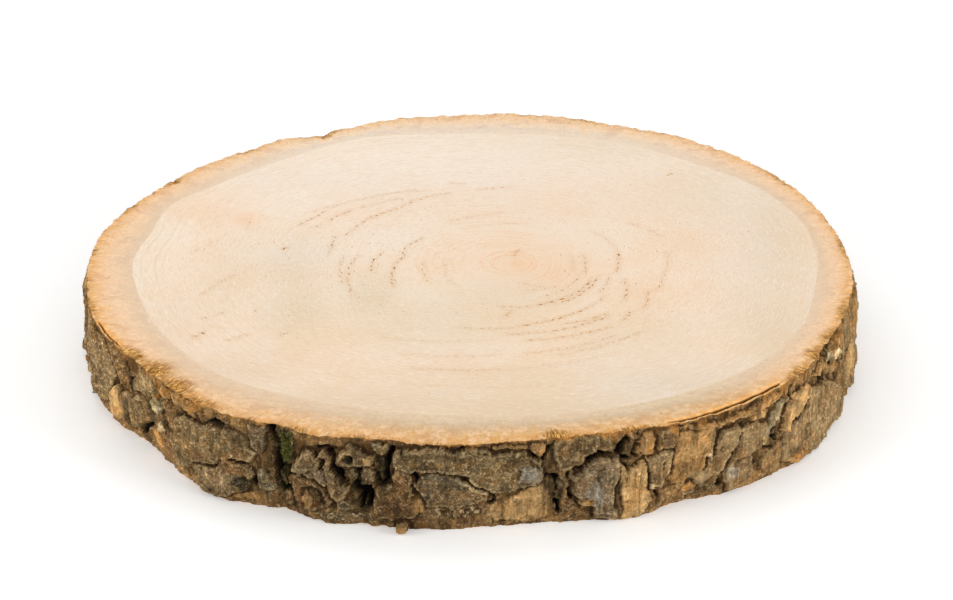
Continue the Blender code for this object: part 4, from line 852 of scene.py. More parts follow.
# Open cracks between them: their course, half width and depth.
CRACKS = [
    ([(190.2, 0.0345), (190.2, 0.020), (191.6, 0.003)], 0.0010, 0.0030),
    ([(199.4, 0.034), (198.6, 0.026), (200.4, 0.014), (201.4, 0.003)], 0.0010, 0.0034),
    ([(204.6, 0.0346), (206.4, 0.0344), (208.2, 0.0350)], 0.0007, 0.0022),
    ([(208.8, 0.0325), (208.8, 0.0300)], 0.0008, 0.0030),
    ([(208.9, 0.0172), (209.7, 0.0130), (210.3, 0.0080), (211.2, 0.0045)], 0.0011, 0.0050),
    ([(211.4, 0.0318), (211.9, 0.0290)], 0.0010, 0.0036),
    ([(212.3, 0.0285), (212.3, 0.0245), (212.0, 0.0220)], 0.0017, 0.0060),
    ([(212.8, 0.0030), (214, 0.0060), (215.3, 0.0093), (217.2, 0.0124)], 0.0011, 0.0044),
    ([(213.2, 0.0215), (215, 0.0222), (216.6, 0.0210), (216.9, 0.0186)], 0.0007, 0.0026),
    ([(220.5, 0.0188), (221.6, 0.0178), (223.2, 0.0178)], 0.0006, 0.0030),
    ([(220.2, 0.0322), (221.0, 0.0316), (221.6, 0.0296)], 0.0009, 0.0046),
    ([(231.9, 0.0292), (232.9, 0.0308), (235, 0.0316)], 0.0009, 0.0034),
    ([(229.3, 0.0118), (231, 0.0127), (233.2, 0.0136)], 0.0004, 0.0016),
    ([(238.4, 0.0140), (239.2, 0.0120), (239.2, 0.0095)], 0.0006, 0.0024),
    ([(242.6, 0.0345), (243.2, 0.0280), (242.9, 0.0200), (242.8, 0.0140), (243.6, 0.0095)], 0.0017, 0.0060),
    ([(244.4, 0.0210), (244.2, 0.0140), (244.4, 0.0100)], 0.0009, 0.0034),
    ([(249.6, 0.0310), (250.4, 0.0318), (252.4, 0.0306)], 0.0006, 0.0026),
    ([(251.8, 0.0294), (251.8, 0.0240), (252.6, 0.0200), (253.6, 0.0182)], 0.0014, 0.0060),
    ([(254.0, 0.0292), (254.1, 0.0276)], 0.0011, 0.0060),
    ([(252.6, 0.0243), (254.5, 0.0243), (254.9, 0.0228)], 0.0005, 0.0030),
    ([(254.8, 0.0215), (254.7, 0.0170), (255.4, 0.0130), (255.2, 0.0080)], 0.0022, 0.0064),
    ([(256.2, 0.0158), (256.5, 0.0120), (256.2, 0.0085)], 0.0018, 0.0060),
    ([(260.0, 0.0335), (259.2, 0.0300), (258.9, 0.0240), (258.6, 0.0190), (257.9, 0.0178)], 0.0008, 0.0052),
    ([(256.9, 0.0272), (257.3, 0.0235), (257.7, 0.0190)], 0.0008, 0.0046),
    ([(261.8, 0.0244), (262.6, 0.0236), (262.9, 0.0215)], 0.0006, 0.0026),
    ([(264, 0.0252), (266.4, 0.0250), (269, 0.0238)], 0.0004, 0.0020),
    ([(268.2, 0.0328), (269.0, 0.0342), (270.0, 0.0350)], 0.0004, 0.0022),
    ([(272.2, 0.0332), (272.4, 0.0322)], 0.0008, 0.0030),
    ([(271.9, 0.0174), (273.3, 0.0152), (273.7, 0.0118), (272.8, 0.0105)], 0.0007, 0.0036),
    ([(278.5, 0.0312), (279.3, 0.0288)], 0.0006, 0.0026),
    ([(281.2, 0.0326), (280.9, 0.0296), (280.4, 0.0272)], 0.0008, 0.0044),
    ([(281.0, 0.0206), (282.3, 0.0190), (282.4, 0.0140), (282.4, 0.0090), (282.9, 0.0055)], 0.0010, 0.0054),
    ([(284.0, 0.0210), (284.3, 0.0160), (284.2, 0.0110), (284.8, 0.0098)], 0.0008, 0.0046),
    ([(284.6, 0.0218), (286.0, 0.0232), (286.6, 0.0258), (288.0, 0.0278), (290.0, 0.0280)], 0.0006, 0.0040),
    ([(290.6, 0.0280), (291.2, 0.0306), (292.2, 0.0330), (292.3, 0.0310)], 0.0011, 0.0056),
    ([(293.4, 0.0346), (293.3, 0.0312)], 0.0006, 0.0034),
    ([(293.1, 0.0300), (292.9, 0.0264), (293.4, 0.0244), (292.0, 0.0250)], 0.0011, 0.0056),
    ([(293.8, 0.0250), (296.2, 0.0246)], 0.0004, 0.0026),
    ([(291.6, 0.0225), (292.4, 0.0202)], 0.0005, 0.0024),
    ([(297.4, 0.0212), (297.6, 0.0178)], 0.0005, 0.0024),
    ([(296.8, 0.0090), (297.2, 0.0072)], 0.0010, 0.0034),
    ([(304.2, 0.0186), (304.3, 0.0146)], 0.0006, 0.0022),
    ([(299.2, 0.0349), (304, 0.0346), (309.5, 0.0346), (313, 0.0354), (316.4, 0.0356)], 0.0003, 0.0010),
    ([(309.5, 0.0276), (309.3, 0.0240), (308.7, 0.0190), (307.9, 0.0140)], 0.0009, 0.0040),
    ([(307.9, 0.0140), (307.3, 0.0100), (307.1, 0.0052)], 0.0009, 0.0046),
    ([(308.2, 0.0132), (311.6, 0.0126)], 0.0003, 0.0014),
    ([(319.6, 0.0330), (319.3, 0.0303), (318.0, 0.0276), (316.4, 0.0246), (315.4, 0.0210)], 0.0014, 0.0060),
    ([(315.4, 0.0210), (315.3, 0.0180), (316.5, 0.0156)], 0.0012, 0.0056),
    ([(313.1, 0.0148), (312.4, 0.0124)], 0.0007, 0.0034),
    ([(314.4, 0.0142), (315.6, 0.0130)], 0.0006, 0.0030),
    ([(313.0, 0.0100), (313.4, 0.0076), (312.0, 0.0046)], 0.0007, 0.0034),
    ([(318.2, 0.0146), (318.6, 0.0166), (320.0, 0.0180), (322.4, 0.0192)], 0.0007, 0.0040),
    ([(327.4, 0.0290), (328.4, 0.0276), (329.0, 0.0256)], 0.0012, 0.0046),
    ([(329.2, 0.0344), (330.2, 0.0318)], 0.0008, 0.0044),
    ([(331.6, 0.0292), (333.0, 0.0276)], 0.0006, 0.0028),
    ([(337.0, 0.0240), (339.6, 0.0200), (341.6, 0.0182)], 0.0008, 0.0032),
    ([(336.0, 0.0190), (337.4, 0.0150)], 0.0006, 0.0024),
    ([(341.4, 0.0340), (341.2, 0.0200), (342.0, 0.0060), (341.6, 0.0010)], 0.0010, 0.0036),
    ([(350.0, 0.0340), (350.2, 0.0180), (351.4, 0.0030)], 0.0010, 0.0036),
]
# How much brighter each side of the bark is painted, as (angle in degrees, times as bright): partly paler
# weathered bark, partly painted light where the sides catch more light.
SIDE_WEAR_AND_LIGHT = [
    (0, 1.46), (50, 1.26), (100, 1.12), (150, 1.38), (185, 1.95), (203, 2.25), (214, 1.98),
    (224, 1.92), (233, 1.42), (241, 1.08), (250, 1.14), (261, 0.98), (271, 1.10), (286, 1.16),
    (294, 1.42), (304, 1.76), (312, 1.54), (320, 1.82), (334, 1.96), (346, 1.62),
]
# The side where the bark has split into long fibres up the trunk, by angle.
FIBROUS_SIDE = [(200, 0.0), (214, 0.35), (224, 0.35), (238, 0.0), (286, 0.0), (300, 0.75), (345, 0.8)]
# How far down from the cut the torn orange fringe reaches, as a share of the thickness.
FRINGE_REACH = [
    (0, 0.05), (60, 0.02), (120, 0.02), (180, 0.05), (206, 0.06), (213, 0.16), (224, 0.18), (232, 0.14),
    (240, 0.03), (262, 0.02), (281, 0.06), (296, 0.09), (310, 0.13), (322, 0.12), (340, 0.12),
]
# How far below the cut the plates begin to stand out, by angle.
RIM_BAND = [
    (0, 0.0030), (30, 0.0016), (150, 0.0016), (172, 0.0100), (190, 0.0090), (202, 0.0016), (340, 0.0016),
]
# Crumbs of pale bark that cling near the foot: angle, height, half angle and half height.
CRUMBS = [(268.3, 0.0070, 4.6, 0.0026), (252, 0.0036, 4.0, 0.0016), (304, 0.0042, 3.0, 0.0016)]
# Dark olive patches over the cracks, partly damp bark and partly painted shade in the crevices: angle,
# height, half angle, half height and how dark.
DAMP_AND_SHADE = [
    (243.2, 0.0200, 1.2, 0.0180, 0.85), (241.8, 0.0230, 1.3, 0.0110, 0.45),
    (252.6, 0.0222, 0.8, 0.0064, 0.70), (255.3, 0.0130, 1.5, 0.0092, 0.90),
    (253.7, 0.0283, 0.7, 0.0020, 0.90), (258.2, 0.0220, 1.1, 0.0090, 0.65),
    (249.0, 0.0120, 2.2, 0.0050, 0.40), (212.3, 0.0250, 1.1, 0.0062, 0.85),
    (217.4, 0.0180, 1.9, 0.0076, 0.60), (222.0, 0.0174, 1.7, 0.0016, 0.75),
    (221.0, 0.0305, 1.0, 0.0024, 0.80), (233.6, 0.0310, 2.6, 0.0018, 0.75),
    (214.3, 0.0050, 1.6, 0.0040, 0.60), (210.4, 0.0085, 1.1, 0.0080, 0.60),
    (237.6, 0.0090, 2.0, 0.0040, 0.50), (291.8, 0.0290, 1.5, 0.0046, 0.55),
    (281.8, 0.0150, 1.2, 0.0110, 0.50), (316.0, 0.0180, 1.2, 0.0060, 0.60),
    (328.4, 0.0270, 1.6, 0.0030, 0.70), (332.6, 0.0300, 1.4, 0.0034, 0.60),
    (330.0, 0.0330, 1.2, 0.0024, 0.70), (337.5, 0.0180, 2.0, 0.0060, 0.45),
    (304.6, 0.0050, 3.0, 0.0040, 0.35),
]
# The side that faces away has the same kinds of plate, by seeded draws between these limits.
FAR_STRETCH = (-4, 182)
FAR_SEED = 11
FLAKE_SEED = 4
FAR_STRIP = (5.0, 9.5)
FAR_CRACK_HALF_WIDTH = (0.0008, 0.0016)
FAR_CRACK_DEPTH = (0.0030, 0.0056)
FAR_OUT = (-0.0008, 0.0010)
FAR_FINISHES = ["grey", "olive", "brown", "umber", "grey", "tan", "olive", "mauve", "lichen", "slate"]
# Small flakes that lie over all of it.
FLAKE_COUNT = 520
FLAKE_OUT = (0.0002, 0.0006)
# The bed that the plates lie on, and the steps, lips, ledges and grooves at their edges.
BED = -0.0004
EDGE_WIDTH = 0.0004
LIP_WIDTH = 0.0010
FULL_CURL = 0.0005
LEDGE_WIDTH = 0.0013
LEDGE_DROP = 0.0004
GROOVE = 0.0004
GROOVE_REACH = 0.0005
RAGGEDNESS = 0.0007
PLATE_LEAN = 0.055
# How far the wider swell and each kind of grain stand out, and where a crack counts as a hollow.
SWELL = 0.0010
LAYER_RELIEF = 0.00024
FIBRE_RELIEF = 0.00016
GRANULE_RELIEF = 0.00019
SHAG_RELIEF = 0.0005
CRUMB_RELIEF = 0.0004
SHALLOW_CRACK = 0.0009
FOOT_BAND = 0.0040
FOOT_CHIP = 0.0004
SIDE_ROWS = 62
REACH_OF_A_DEGREE = 0.00252


def noise_at(places, scale, offset=0.0):
    """Smooth noise from -1 to 1 at each place."""
    moved = np.asarray(places) * scale + offset
    return np.array([noise.noise(Vector(p)) for p in moved.tolist()])


def between(table, angles):
    """The value at each angle, on straight lines between a table's (angle, value) pairs."""
    return np.interp(angles, *zip(*table), period=360)


def smooth(value, low, high):
    """An easy rise from 0 to 1 between two values."""
    t = np.clip((value - low) / (high - low), 0, 1)
    return t * t * (3 - 2 * t)


bark_angles = np.arange(BARK_AROUND) * 360 / BARK_AROUND
bark_turns = np.radians(bark_angles)
bark_ways = np.stack([np.cos(bark_turns), np.sin(bark_turns), np.zeros(BARK_AROUND)], -1)


# Where the outer bark has come loose from the rim: from, to, how far in from the edge, half width
# and how deep.
LOOSE = [(297, 319, 0.0021, 0.00062, 0.0017), (199, 211, 0.0013, 0.00040, 0.0010)]


def loose_at(start, stop):
    """1 along a stretch of loose bark, easing to 0 at its ends."""
    return smooth(bark_angles, start, start + 3) * (1 - smooth(bark_angles, stop - 3, stop))


def torn_edge():
    """The edge of the saw cut all the way round: its radius, and how far it hangs below the cut."""
    fray = RIM_FRAY * noise_at(bark_ways, 34)
    chunk = np.maximum(noise_at(bark_ways, 26, 8.2), 0.05)
    chunk += 0.7 * np.maximum(noise_at(bark_ways, 70, 5.1), -0.1)
    fine = 0.35 * noise_at(bark_ways, 210, 3.3)
    hanging = 0.35 + noise_at(bark_ways, 48, 1.7) + 0.6 * noise_at(bark_ways, 190, 9.4)
    drop = RIM_DROP * np.clip(hanging, 0, 1.5)
    held = 1 - 0.75 * np.max([loose_at(start, stop) for start, stop, *_ in LOOSE], axis=0)
    return on_closed_curve(RIM, bark_angles) + (fray - RIM_TEAR * (chunk + fine)) * held, drop


edge_radius, edge_drop = torn_edge()


def ragged_ring(draw, angle, height, half_width, half_height, corners):
    """A rough closed outline, as (angle, height) points, with its half sizes in metres."""
    outline = []
    start = draw.uniform(0, math.tau)
    for corner in range(corners):
        turn = start + math.tau * (corner + draw.uniform(-0.25, 0.25)) / corners
        square = 1 / max(abs(math.cos(turn)), abs(math.sin(turn)))
        reach = (1 + 0.7 * (square - 1)) * draw.uniform(0.78, 1.08)
        across = half_width * reach * math.cos(turn) / REACH_OF_A_DEGREE
        outline.append((angle + across, height + half_height * reach * math.sin(turn)))
    return outline


def far_side(draw, looks):
    """Plates and cracks of the side that faces away: strips up the trunk, cracked across."""
    plates = []
    cracks = []
    angle, end = FAR_STRETCH
    while angle < end:
        strip = draw.uniform(*FAR_STRIP)
        lean = draw.uniform(-2.5, 2.5)
        top = draw.uniform(0.026, 0.0355)
        foot = draw.uniform(0.000, 0.012)
        bend = draw.uniform(-1.2, 1.2)
        course = [(angle, top), (angle + bend, (top + foot) / 2), (angle + lean, foot)]
        cracks.append((course, draw.uniform(*FAR_CRACK_HALF_WIDTH), draw.uniform(*FAR_CRACK_DEPTH)))
        break_at = draw.uniform(0.010, 0.026)
        for low, high in ((0.0, break_at), (break_at, THICKNESS)):
            middle = angle + strip / 2 + lean * (1 - (low + high) / THICKNESS / 2)
            half_width = strip * REACH_OF_A_DEGREE * draw.uniform(0.42, 0.56)
            half_height = (high - low) * draw.uniform(0.46, 0.58)
            outline = ragged_ring(draw, middle, (low + high) / 2, half_width, half_height, 13)
            finish, curl = looks.choice(FAR_FINISHES), looks.uniform(0.0001, 0.0007)
            plates.append((finish, draw.uniform(*FAR_OUT), curl, outline))
            if draw.random() < 0.6:
                size = draw.uniform(0.003, 0.008)
                place = (middle + draw.uniform(-2, 2), draw.uniform(low, high))
                outline = ragged_ring(draw, *place, size, size * draw.uniform(0.6, 1.4), 9)
                rise = plates[-1][1] + draw.uniform(0.0004, 0.0010)
                plates.append((looks.choice(FAR_FINISHES), rise, looks.uniform(0.0002, 0.0007), outline))
        angle += strip
    return plates, cracks


def inside_outline(x, y, outline):
    """How far inside a closed outline each place lies, in metres, and less than 0 outside it."""
    nearest = np.full(len(x), np.inf)
    crossings = np.zeros(len(x), bool)
    for (x0, y0), (x1, y1) in zip(outline, outline[1:] + outline[:1]):
        dx, dy = x1 - x0, y1 - y0
        t = np.clip(((x - x0) * dx + (y - y0) * dy) / (dx * dx + dy * dy + 1e-12), 0, 1)
        nearest = np.minimum(nearest, np.hypot(x - x0 - t * dx, y - y0 - t * dy))
        if dy:
            crossings ^= ((y0 > y) != (y1 > y)) & (x < x0 + dx * (y - y0) / dy)
    return np.where(crossings, nearest, -nearest)


def near_outline(angles, heights, outline, margin):
    """The places close to an outline, and both of them in metres from the outline's first point."""
    first = outline[0][0]
    flat = [((angle - first) * REACH_OF_A_DEGREE, height) for angle, height in outline]
    across = (np.mod(angles - first + 180, 360) - 180) * REACH_OF_A_DEGREE
    xs, ys = zip(*flat)
    near = (across > min(xs) - margin) & (across < max(xs) + margin)
    near &= (heights > min(ys) - margin) & (heights < max(ys) + margin)
    spots = np.flatnonzero(near)
    return spots, across[spots], heights[spots], flat


def plate_relief(angles, heights, plates, flakes, broken):
    """Lays the plates over each other: how far out each place is, its plate and its lip."""
    out = np.full(len(angles), BED)
    top = np.full(len(angles), -1)
    lip = np.zeros(len(angles))
    for number, (_, rise, curl, outline) in enumerate(plates):
        spots, x, y, flat = near_outline(angles, heights, outline, 0.002)
        if not len(spots):
            continue
        inside = inside_outline(x, y, flat)
        open_edge = GROOVE * np.clip(0.35 + broken[spots], 0, 1) * np.exp(inside / GROOVE_REACH)
        out[spots] -= np.where(inside < 0, open_edge, 0)
        cliff = smooth(inside, 0, EDGE_WIDTH)
        ledge = LEDGE_WIDTH * (1 + 2 * broken[spots]) - inside
        step_down = smooth(ledge, 0, EDGE_WIDTH) * (broken[spots] > 0.1)
        at_lip = np.exp(-np.clip(inside, 0, None) / LIP_WIDTH)
        middle = np.array(flat).mean(0)
        lean = math.sin(number * 2.4) * (x - middle[0]) + math.cos(number * 1.7) * (y - middle[1])
        level = rise + PLATE_LEAN * lean - LEDGE_DROP * step_down + curl * at_lip
        out[spots] = out[spots] * (1 - cliff) + level * cliff
        on_plate = spots[inside > 0]
        top[on_plate] = number
        lip[on_plate] = (at_lip * min(1, curl / FULL_CURL))[inside > 0]
    for rise, outline in flakes:
        spots, x, y, flat = near_outline(angles, heights, outline, 0.001)
        out[spots] += rise * smooth(inside_outline(x, y, flat), 0, EDGE_WIDTH)
    return out, top, lip


def crack_relief(angles, heights, cracks, broken):
    """How deep the deepest crack at each place goes."""
    deepest = np.zeros(len(angles))
    for course, half_width, depth in cracks:
        for start, stop in zip(course, course[1:]):
            spots, x, y, flat = near_outline(angles, heights, [start, stop], 3 * half_width)
            run = flat[1][0]
            fall = flat[1][1] - flat[0][1]
            t = np.clip((x * run + (y - flat[0][1]) * fall) / (run * run + fall * fall), 0, 1)
            gap = np.hypot(x - run * t, y - flat[0][1] - fall * t)
            wide = half_width * np.clip(0.62 + 1.5 * broken[spots], 0.12, 1.6)
            cut = depth * (0.8 + 0.4 * broken[spots]) * (1 - smooth(gap, wide * 0.2, wide * 1.4))
            deepest[spots] = np.maximum(deepest[spots], cut)
    return deepest


def blurred(grid, reach):
    """A grid that goes round in its first direction, averaged over a square."""
    total = np.zeros_like(grid)
    for shift in range(-reach, reach + 1):
        total += np.roll(grid, shift, axis=0)
    wide = np.pad(total, ((0, 0), (reach, reach)), mode="edge")
    summed = np.zeros_like(grid)
    for shift in range(2 * reach + 1):
        summed += wide[:, shift:shift + grid.shape[1]]
    return summed / (2 * reach + 1) ** 2


# The light and the dark colour of the bed and of each finish that a plate can have.
BED_COLOURS = (linear(172, 132, 82), linear(120, 88, 52))
FINISH_COLOURS = {
    "grey": (linear(178, 151, 110), linear(142, 114, 78)),
    "olive": (linear(174, 148, 104), linear(134, 111, 74)),
    "slate": (linear(156, 144, 114), linear(110, 97, 70)),
    "ash": (linear(196, 192, 174), linear(160, 154, 136)),
    "mauve": (linear(178, 156, 124), linear(147, 125, 96)),
    "brown": (linear(167, 126, 80), linear(125, 92, 57)),
    "umber": (linear(217, 164, 99), linear(167, 122, 68)),
    "tan": (linear(250, 204, 138), linear(232, 176, 108)),
    "orange": (linear(240, 172, 94), linear(170, 114, 56)),
    "pale": (linear(250, 226, 180), linear(222, 192, 140)),
    "lichen": (linear(212, 198, 156), linear(150, 135, 95)),
    "dark": (linear(117, 75, 36), linear(88, 56, 27)),
    "moss": (linear(88, 84, 32), linear(40, 44, 14)),
}
# How fibrous each of them is.
FIBROUS = {"tan": 1.0, "umber": 1.0, "orange": 0.9, "pale": 0.7, "ash": 0.5}


def bark_side():
    """The outer side as rows of places from the foot up, with what shows on them marked."""
    draw = random.Random(FLAKE_SEED)
    far_plates, far_cracks = far_side(random.Random(FAR_SEED), draw)
    flakes = []
    for _ in range(FLAKE_COUNT):
        size = draw.uniform(0.0010, 0.0030)
        place = (draw.uniform(0, 360), draw.uniform(0, THICKNESS))
        outline = ragged_ring(draw, *place, size, size * draw.uniform(0.7, 1.8), 7)
        flakes.append((draw.uniform(*FLAKE_OUT), outline))
    rows = SIDE_ROWS + 1
    angles = np.repeat(bark_angles, rows)
    turns = np.radians(angles)
    heights = np.tile(np.linspace(0, THICKNESS, rows), BARK_AROUND)
    plain_radius = np.repeat(on_closed_curve(RIM, bark_angles), rows)
    plain = np.stack([plain_radius * np.cos(turns), plain_radius * np.sin(turns), heights], -1)
    along, up = (noise_at(plain, 360, apart) + 0.6 * noise_at(plain, 1150, apart) for apart in (0.0, 7.7))
    moved_angles = angles + RAGGEDNESS * along / REACH_OF_A_DEGREE
    moved_heights = heights + RAGGEDNESS * up
    broken = noise_at(plain, 240)
    plates = far_plates + PLATES + SCALES
    plate, top, lip = plate_relief(moved_angles, moved_heights, plates, flakes, broken)
    crack = crack_relief(moved_angles, moved_heights, CRACKS + far_cracks, broken)
    fibrous = np.array([FIBROUS.get(finish, 0.0) for finish, *_ in plates] + [0.5])[top]
    fibrous = np.maximum(fibrous, between(FIBROUS_SIDE, angles))
    drawn_up = plain * np.array([1, 1, 0.16])
    fibre = noise_at(drawn_up, 900) + 0.6 * noise_at(drawn_up, 1700)
    layers = noise_at(plain * np.array([1, 1, 0.6]), 170, 3.1) * 2.6
    whole = np.floor(layers)
    stepped = whole + smooth(layers - whole, 0.0, 0.18)
    granule = noise_at(plain, 850) + 0.8 * noise_at(plain, 1500)
    reach = between(FRINGE_REACH, angles)
    shaggy = smooth(heights / THICKNESS, 1 - 1.6 * reach, 1 - 0.5 * reach) * reach / 0.18
    fibrous = np.maximum(fibrous, shaggy)
    crumbs = np.zeros(len(angles))
    for angle, height, half_angle, half_height in CRUMBS:
        far = ((angles - angle) / half_angle) ** 2 + ((heights - height) / half_height) ** 2
        crumbs = np.maximum(crumbs, 1 - smooth(far, 0.5, 1.3))
    damp_and_shade = np.zeros(len(angles))
    for angle, height, half_angle, half_height, strength in DAMP_AND_SHADE:
        far = ((moved_angles - angle) / half_angle) ** 2 + ((moved_heights - height) / half_height) ** 2
        damp_and_shade = np.maximum(damp_and_shade, strength * (1 - smooth(far, 0.2, 1.4)))
    fine = FIBRE_RELIEF * fibre * fibrous + GRANULE_RELIEF * granule * (1 - 0.6 * fibrous)
    fine += SHAG_RELIEF * fibre * shaggy
    fine += CRUMB_RELIEF * granule * crumbs
    relief = SWELL * noise_at(plain, 55) + plate + LAYER_RELIEF * stepped + fine - crack
    below_rim = smooth(THICKNESS - heights, 0.0, between(RIM_BAND, angles))
    chip = FOOT_CHIP * (1 - smooth(heights, 0.0, FOOT_BAND)) * (1 + noise_at(plain, 260))
    inset = np.repeat(on_closed_curve(FOOT_INSET, bark_angles), rows) * (1 - heights / THICKNESS)
    radius = np.repeat(edge_radius, rows) - inset + relief * below_rim - chip
    lift = np.repeat(FOOT_LIFT * np.clip(noise_at(bark_ways, 30, 6.6) * 2, 0, 1), rows)
    level = heights + lift * (1 - heights / THICKNESS) - np.repeat(edge_drop, rows) * heights / THICKNESS
    places = np.stack([radius * np.cos(turns), radius * np.sin(turns), level], -1) + TRUNK_CENTRE_3D
    grid = relief.reshape(BARK_AROUND, rows)
    shallow = (relief + crack - np.minimum(crack, SHALLOW_CRACK)).reshape(BARK_AROUND, rows)
    # hollow, sunk and deep say how far each place lies below its surroundings; the finish paints shade and
    # highlight from them.
    marks = {
        "hollow": (blurred(shallow, 2) - shallow).ravel() * 1000,
        "sunk": (blurred(shallow, 8) - shallow).ravel() * 1000,
        "deep": (blurred(grid, 12) - grid).ravel() * 1000,
        "crumbs": crumbs,
        "damp_and_shade": damp_and_shade,
        "lip": lip * np.clip(0.4 + 1.5 * broken, 0, 1),
        "tone": np.where(top < 0, 0.0, np.mod(top * 0.37, 1.0)),
        "up": heights / THICKNESS,
        "fibrous": fibrous,
        "side_wear_and_light": np.repeat(on_closed_curve(SIDE_WEAR_AND_LIGHT, bark_angles), rows),
        "fringe": reach,
    }
    names = np.array([finish for finish, *_ in plates] + ["bed"])[top]
    for finish in FINISH_COLOURS:
        marks[finish] = (names == finish).astype(float)
    order = np.arange(len(places)).reshape(BARK_AROUND, rows).T.ravel()
    return places[order], {name: values[order] for name, values in marks.items()}


def ring_of_quads(rows, around):
    """Faces between rows of points that each go right round."""
    faces = []
    for row in range(rows - 1):
        low = row * around
        for step in range(around):
            after = (step + 1) % around
            faces.append((low + step, low + after, low + around + after, low + around + step))
    return faces


OCHRE = linear(196, 140, 66)
RUST = linear(160, 104, 48)
EDGE_HIGHLIGHT = linear(226, 194, 140)
PALE_GRAIN = linear(218, 188, 140)
STREAK_DARK = linear(92, 64, 34)
STREAK_LIGHT = linear(222, 180, 118)
DARK_GRAIN = linear(56, 40, 20)
HOLLOW_SHADE = linear(64, 43, 20)
CRACK_SHADE = linear(24, 17, 9)
DAMP_AND_SHADE_DARK = linear(44, 37, 16)
SOOT = linear(56, 42, 24)
CRUMB_PALE = linear(222, 192, 144)
FRINGE = linear(230, 164, 84)
FRINGE_DARK = linear(136, 92, 44)


